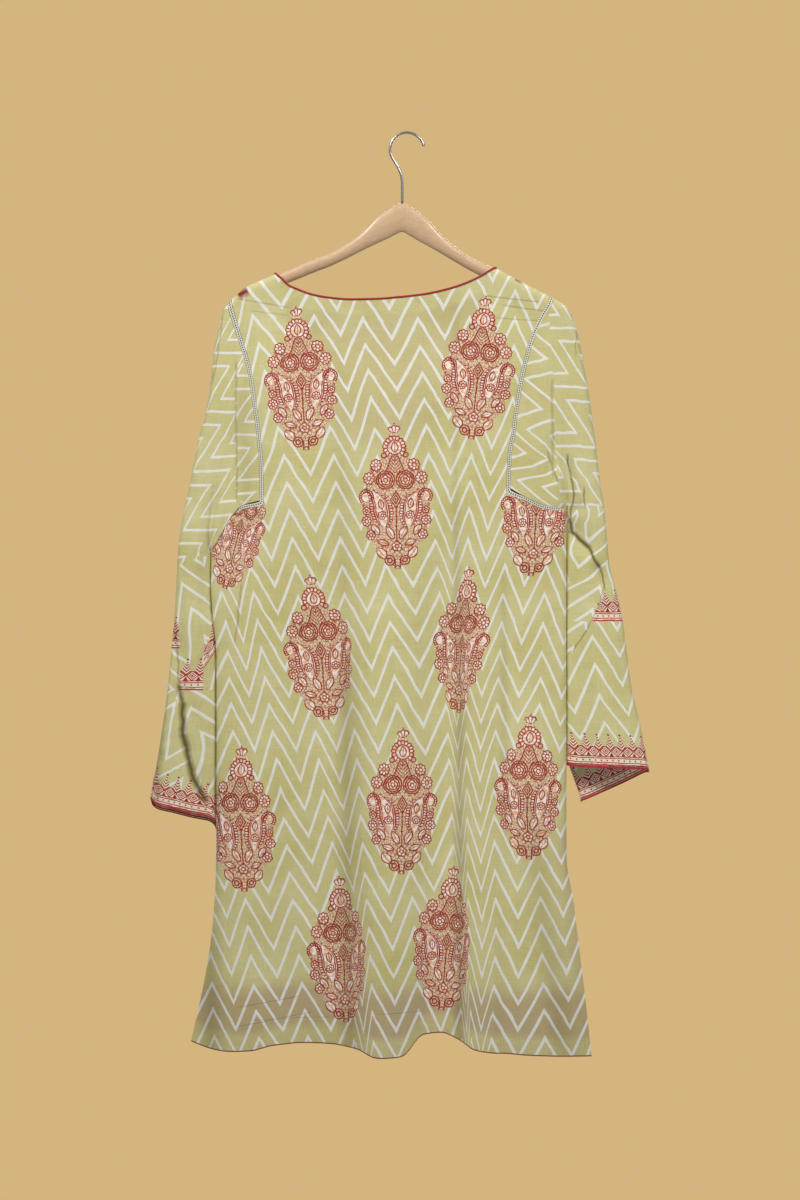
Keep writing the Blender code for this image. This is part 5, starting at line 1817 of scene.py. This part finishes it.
for layer in (BACK, FRONT):
    trims["edging", layer].data.materials.append(edging_thread)
for side in (LEFT, RIGHT):
    trims["binding", side].data.materials.append(binding_cloth)
    trims["lace", side].data.materials.append(lace_finish.material)
trims["piping"].data.materials.append(piping_cloth)
print("trims dressed:", len(trims))

# %% Wood and steel
BEECH, BEECH_DARK, BEECH_PORE = linear(214, 183, 148), linear(192, 152, 112), linear(150, 110, 76)
wood = Finish("lacquered_beech", BEECH, 0.42)
x, y, z = wood.own_place()
slope = z + x.size() * 0.45
growth = wood.noise(wood.vector(x * 0.02, y * 0.2, slope * 0.16), 1.0, 3.0)
pores = wood.noise(wood.vector(x * 0.09, y * 1.6, slope * 1.6), 1.0, 2.0)
rings = (growth * 60).math("SINE") * 0.5 + 0.5
shade = wood.mix(rings * 0.35 + growth * 0.4, opaque(BEECH), opaque(BEECH_DARK))
shade = wood.mix(pores.above(0.66) * 0.45, shade, opaque(BEECH_PORE))
wood.set("Base Color", shade)
wood.set("Roughness", 0.36 + pores * 0.2)
wood.bump(pores * 0.5 + growth, 0.0003, 0.35)
wood.shader.inputs["Coat Weight"].default_value = 0.35
wood.shader.inputs["Coat Roughness"].default_value = 0.18
hanger_wood.data.materials.append(wood.material)

steel = Finish("plated_steel", (0.58, 0.56, 0.52), 0.28)
x, y, z = steel.own_place()
haze = steel.noise(steel.vector(x, y, z), 0.35, 3.0)
steel.set("Base Color", steel.mix(haze, opaque((0.62, 0.60, 0.56)), opaque((0.42, 0.40, 0.37))))
steel.set("Roughness", 0.2 + haze * 0.22)
steel.shader.inputs["Metallic"].default_value = 1.0
steel.bump(haze, 0.0002, 0.3)
hanger_hook.data.materials.append(steel.material)

ground = Finish("floor_paint", (0.72, 0.70, 0.66), 0.8)
x, y, z = ground.own_place()
ground.set("Base Color", ground.mix(ground.noise(ground.vector(x, y), 0.004, 3.0),
                                    opaque((0.74, 0.72, 0.68)), opaque((0.68, 0.66, 0.62))))
floor.data.materials.append(ground.material)
print(len(bpy.data.materials), "materials")

# %% Hiding the plain solids that the new pieces lie on
for piece, node in (
        (panels[BACK], "back"), (panels[FRONT], "front"),
        (upper[LEFT], "sleeve_upper_left"), (upper[RIGHT], "sleeve_upper_right"),
        (lower[LEFT], "sleeve_lower_left"), (lower[RIGHT], "sleeve_lower_right")):
    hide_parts(node)
for layer, panel_name in ((BACK, "back"), (FRONT, "front")):
    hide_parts("hem_edging_" + panel_name)
for side in (LEFT, RIGHT):
    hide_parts("cuff_binding_" + side)
    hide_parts("lace_" + side)
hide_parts("neck_piping")
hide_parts("hanger_wood")
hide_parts("hanger_hook")
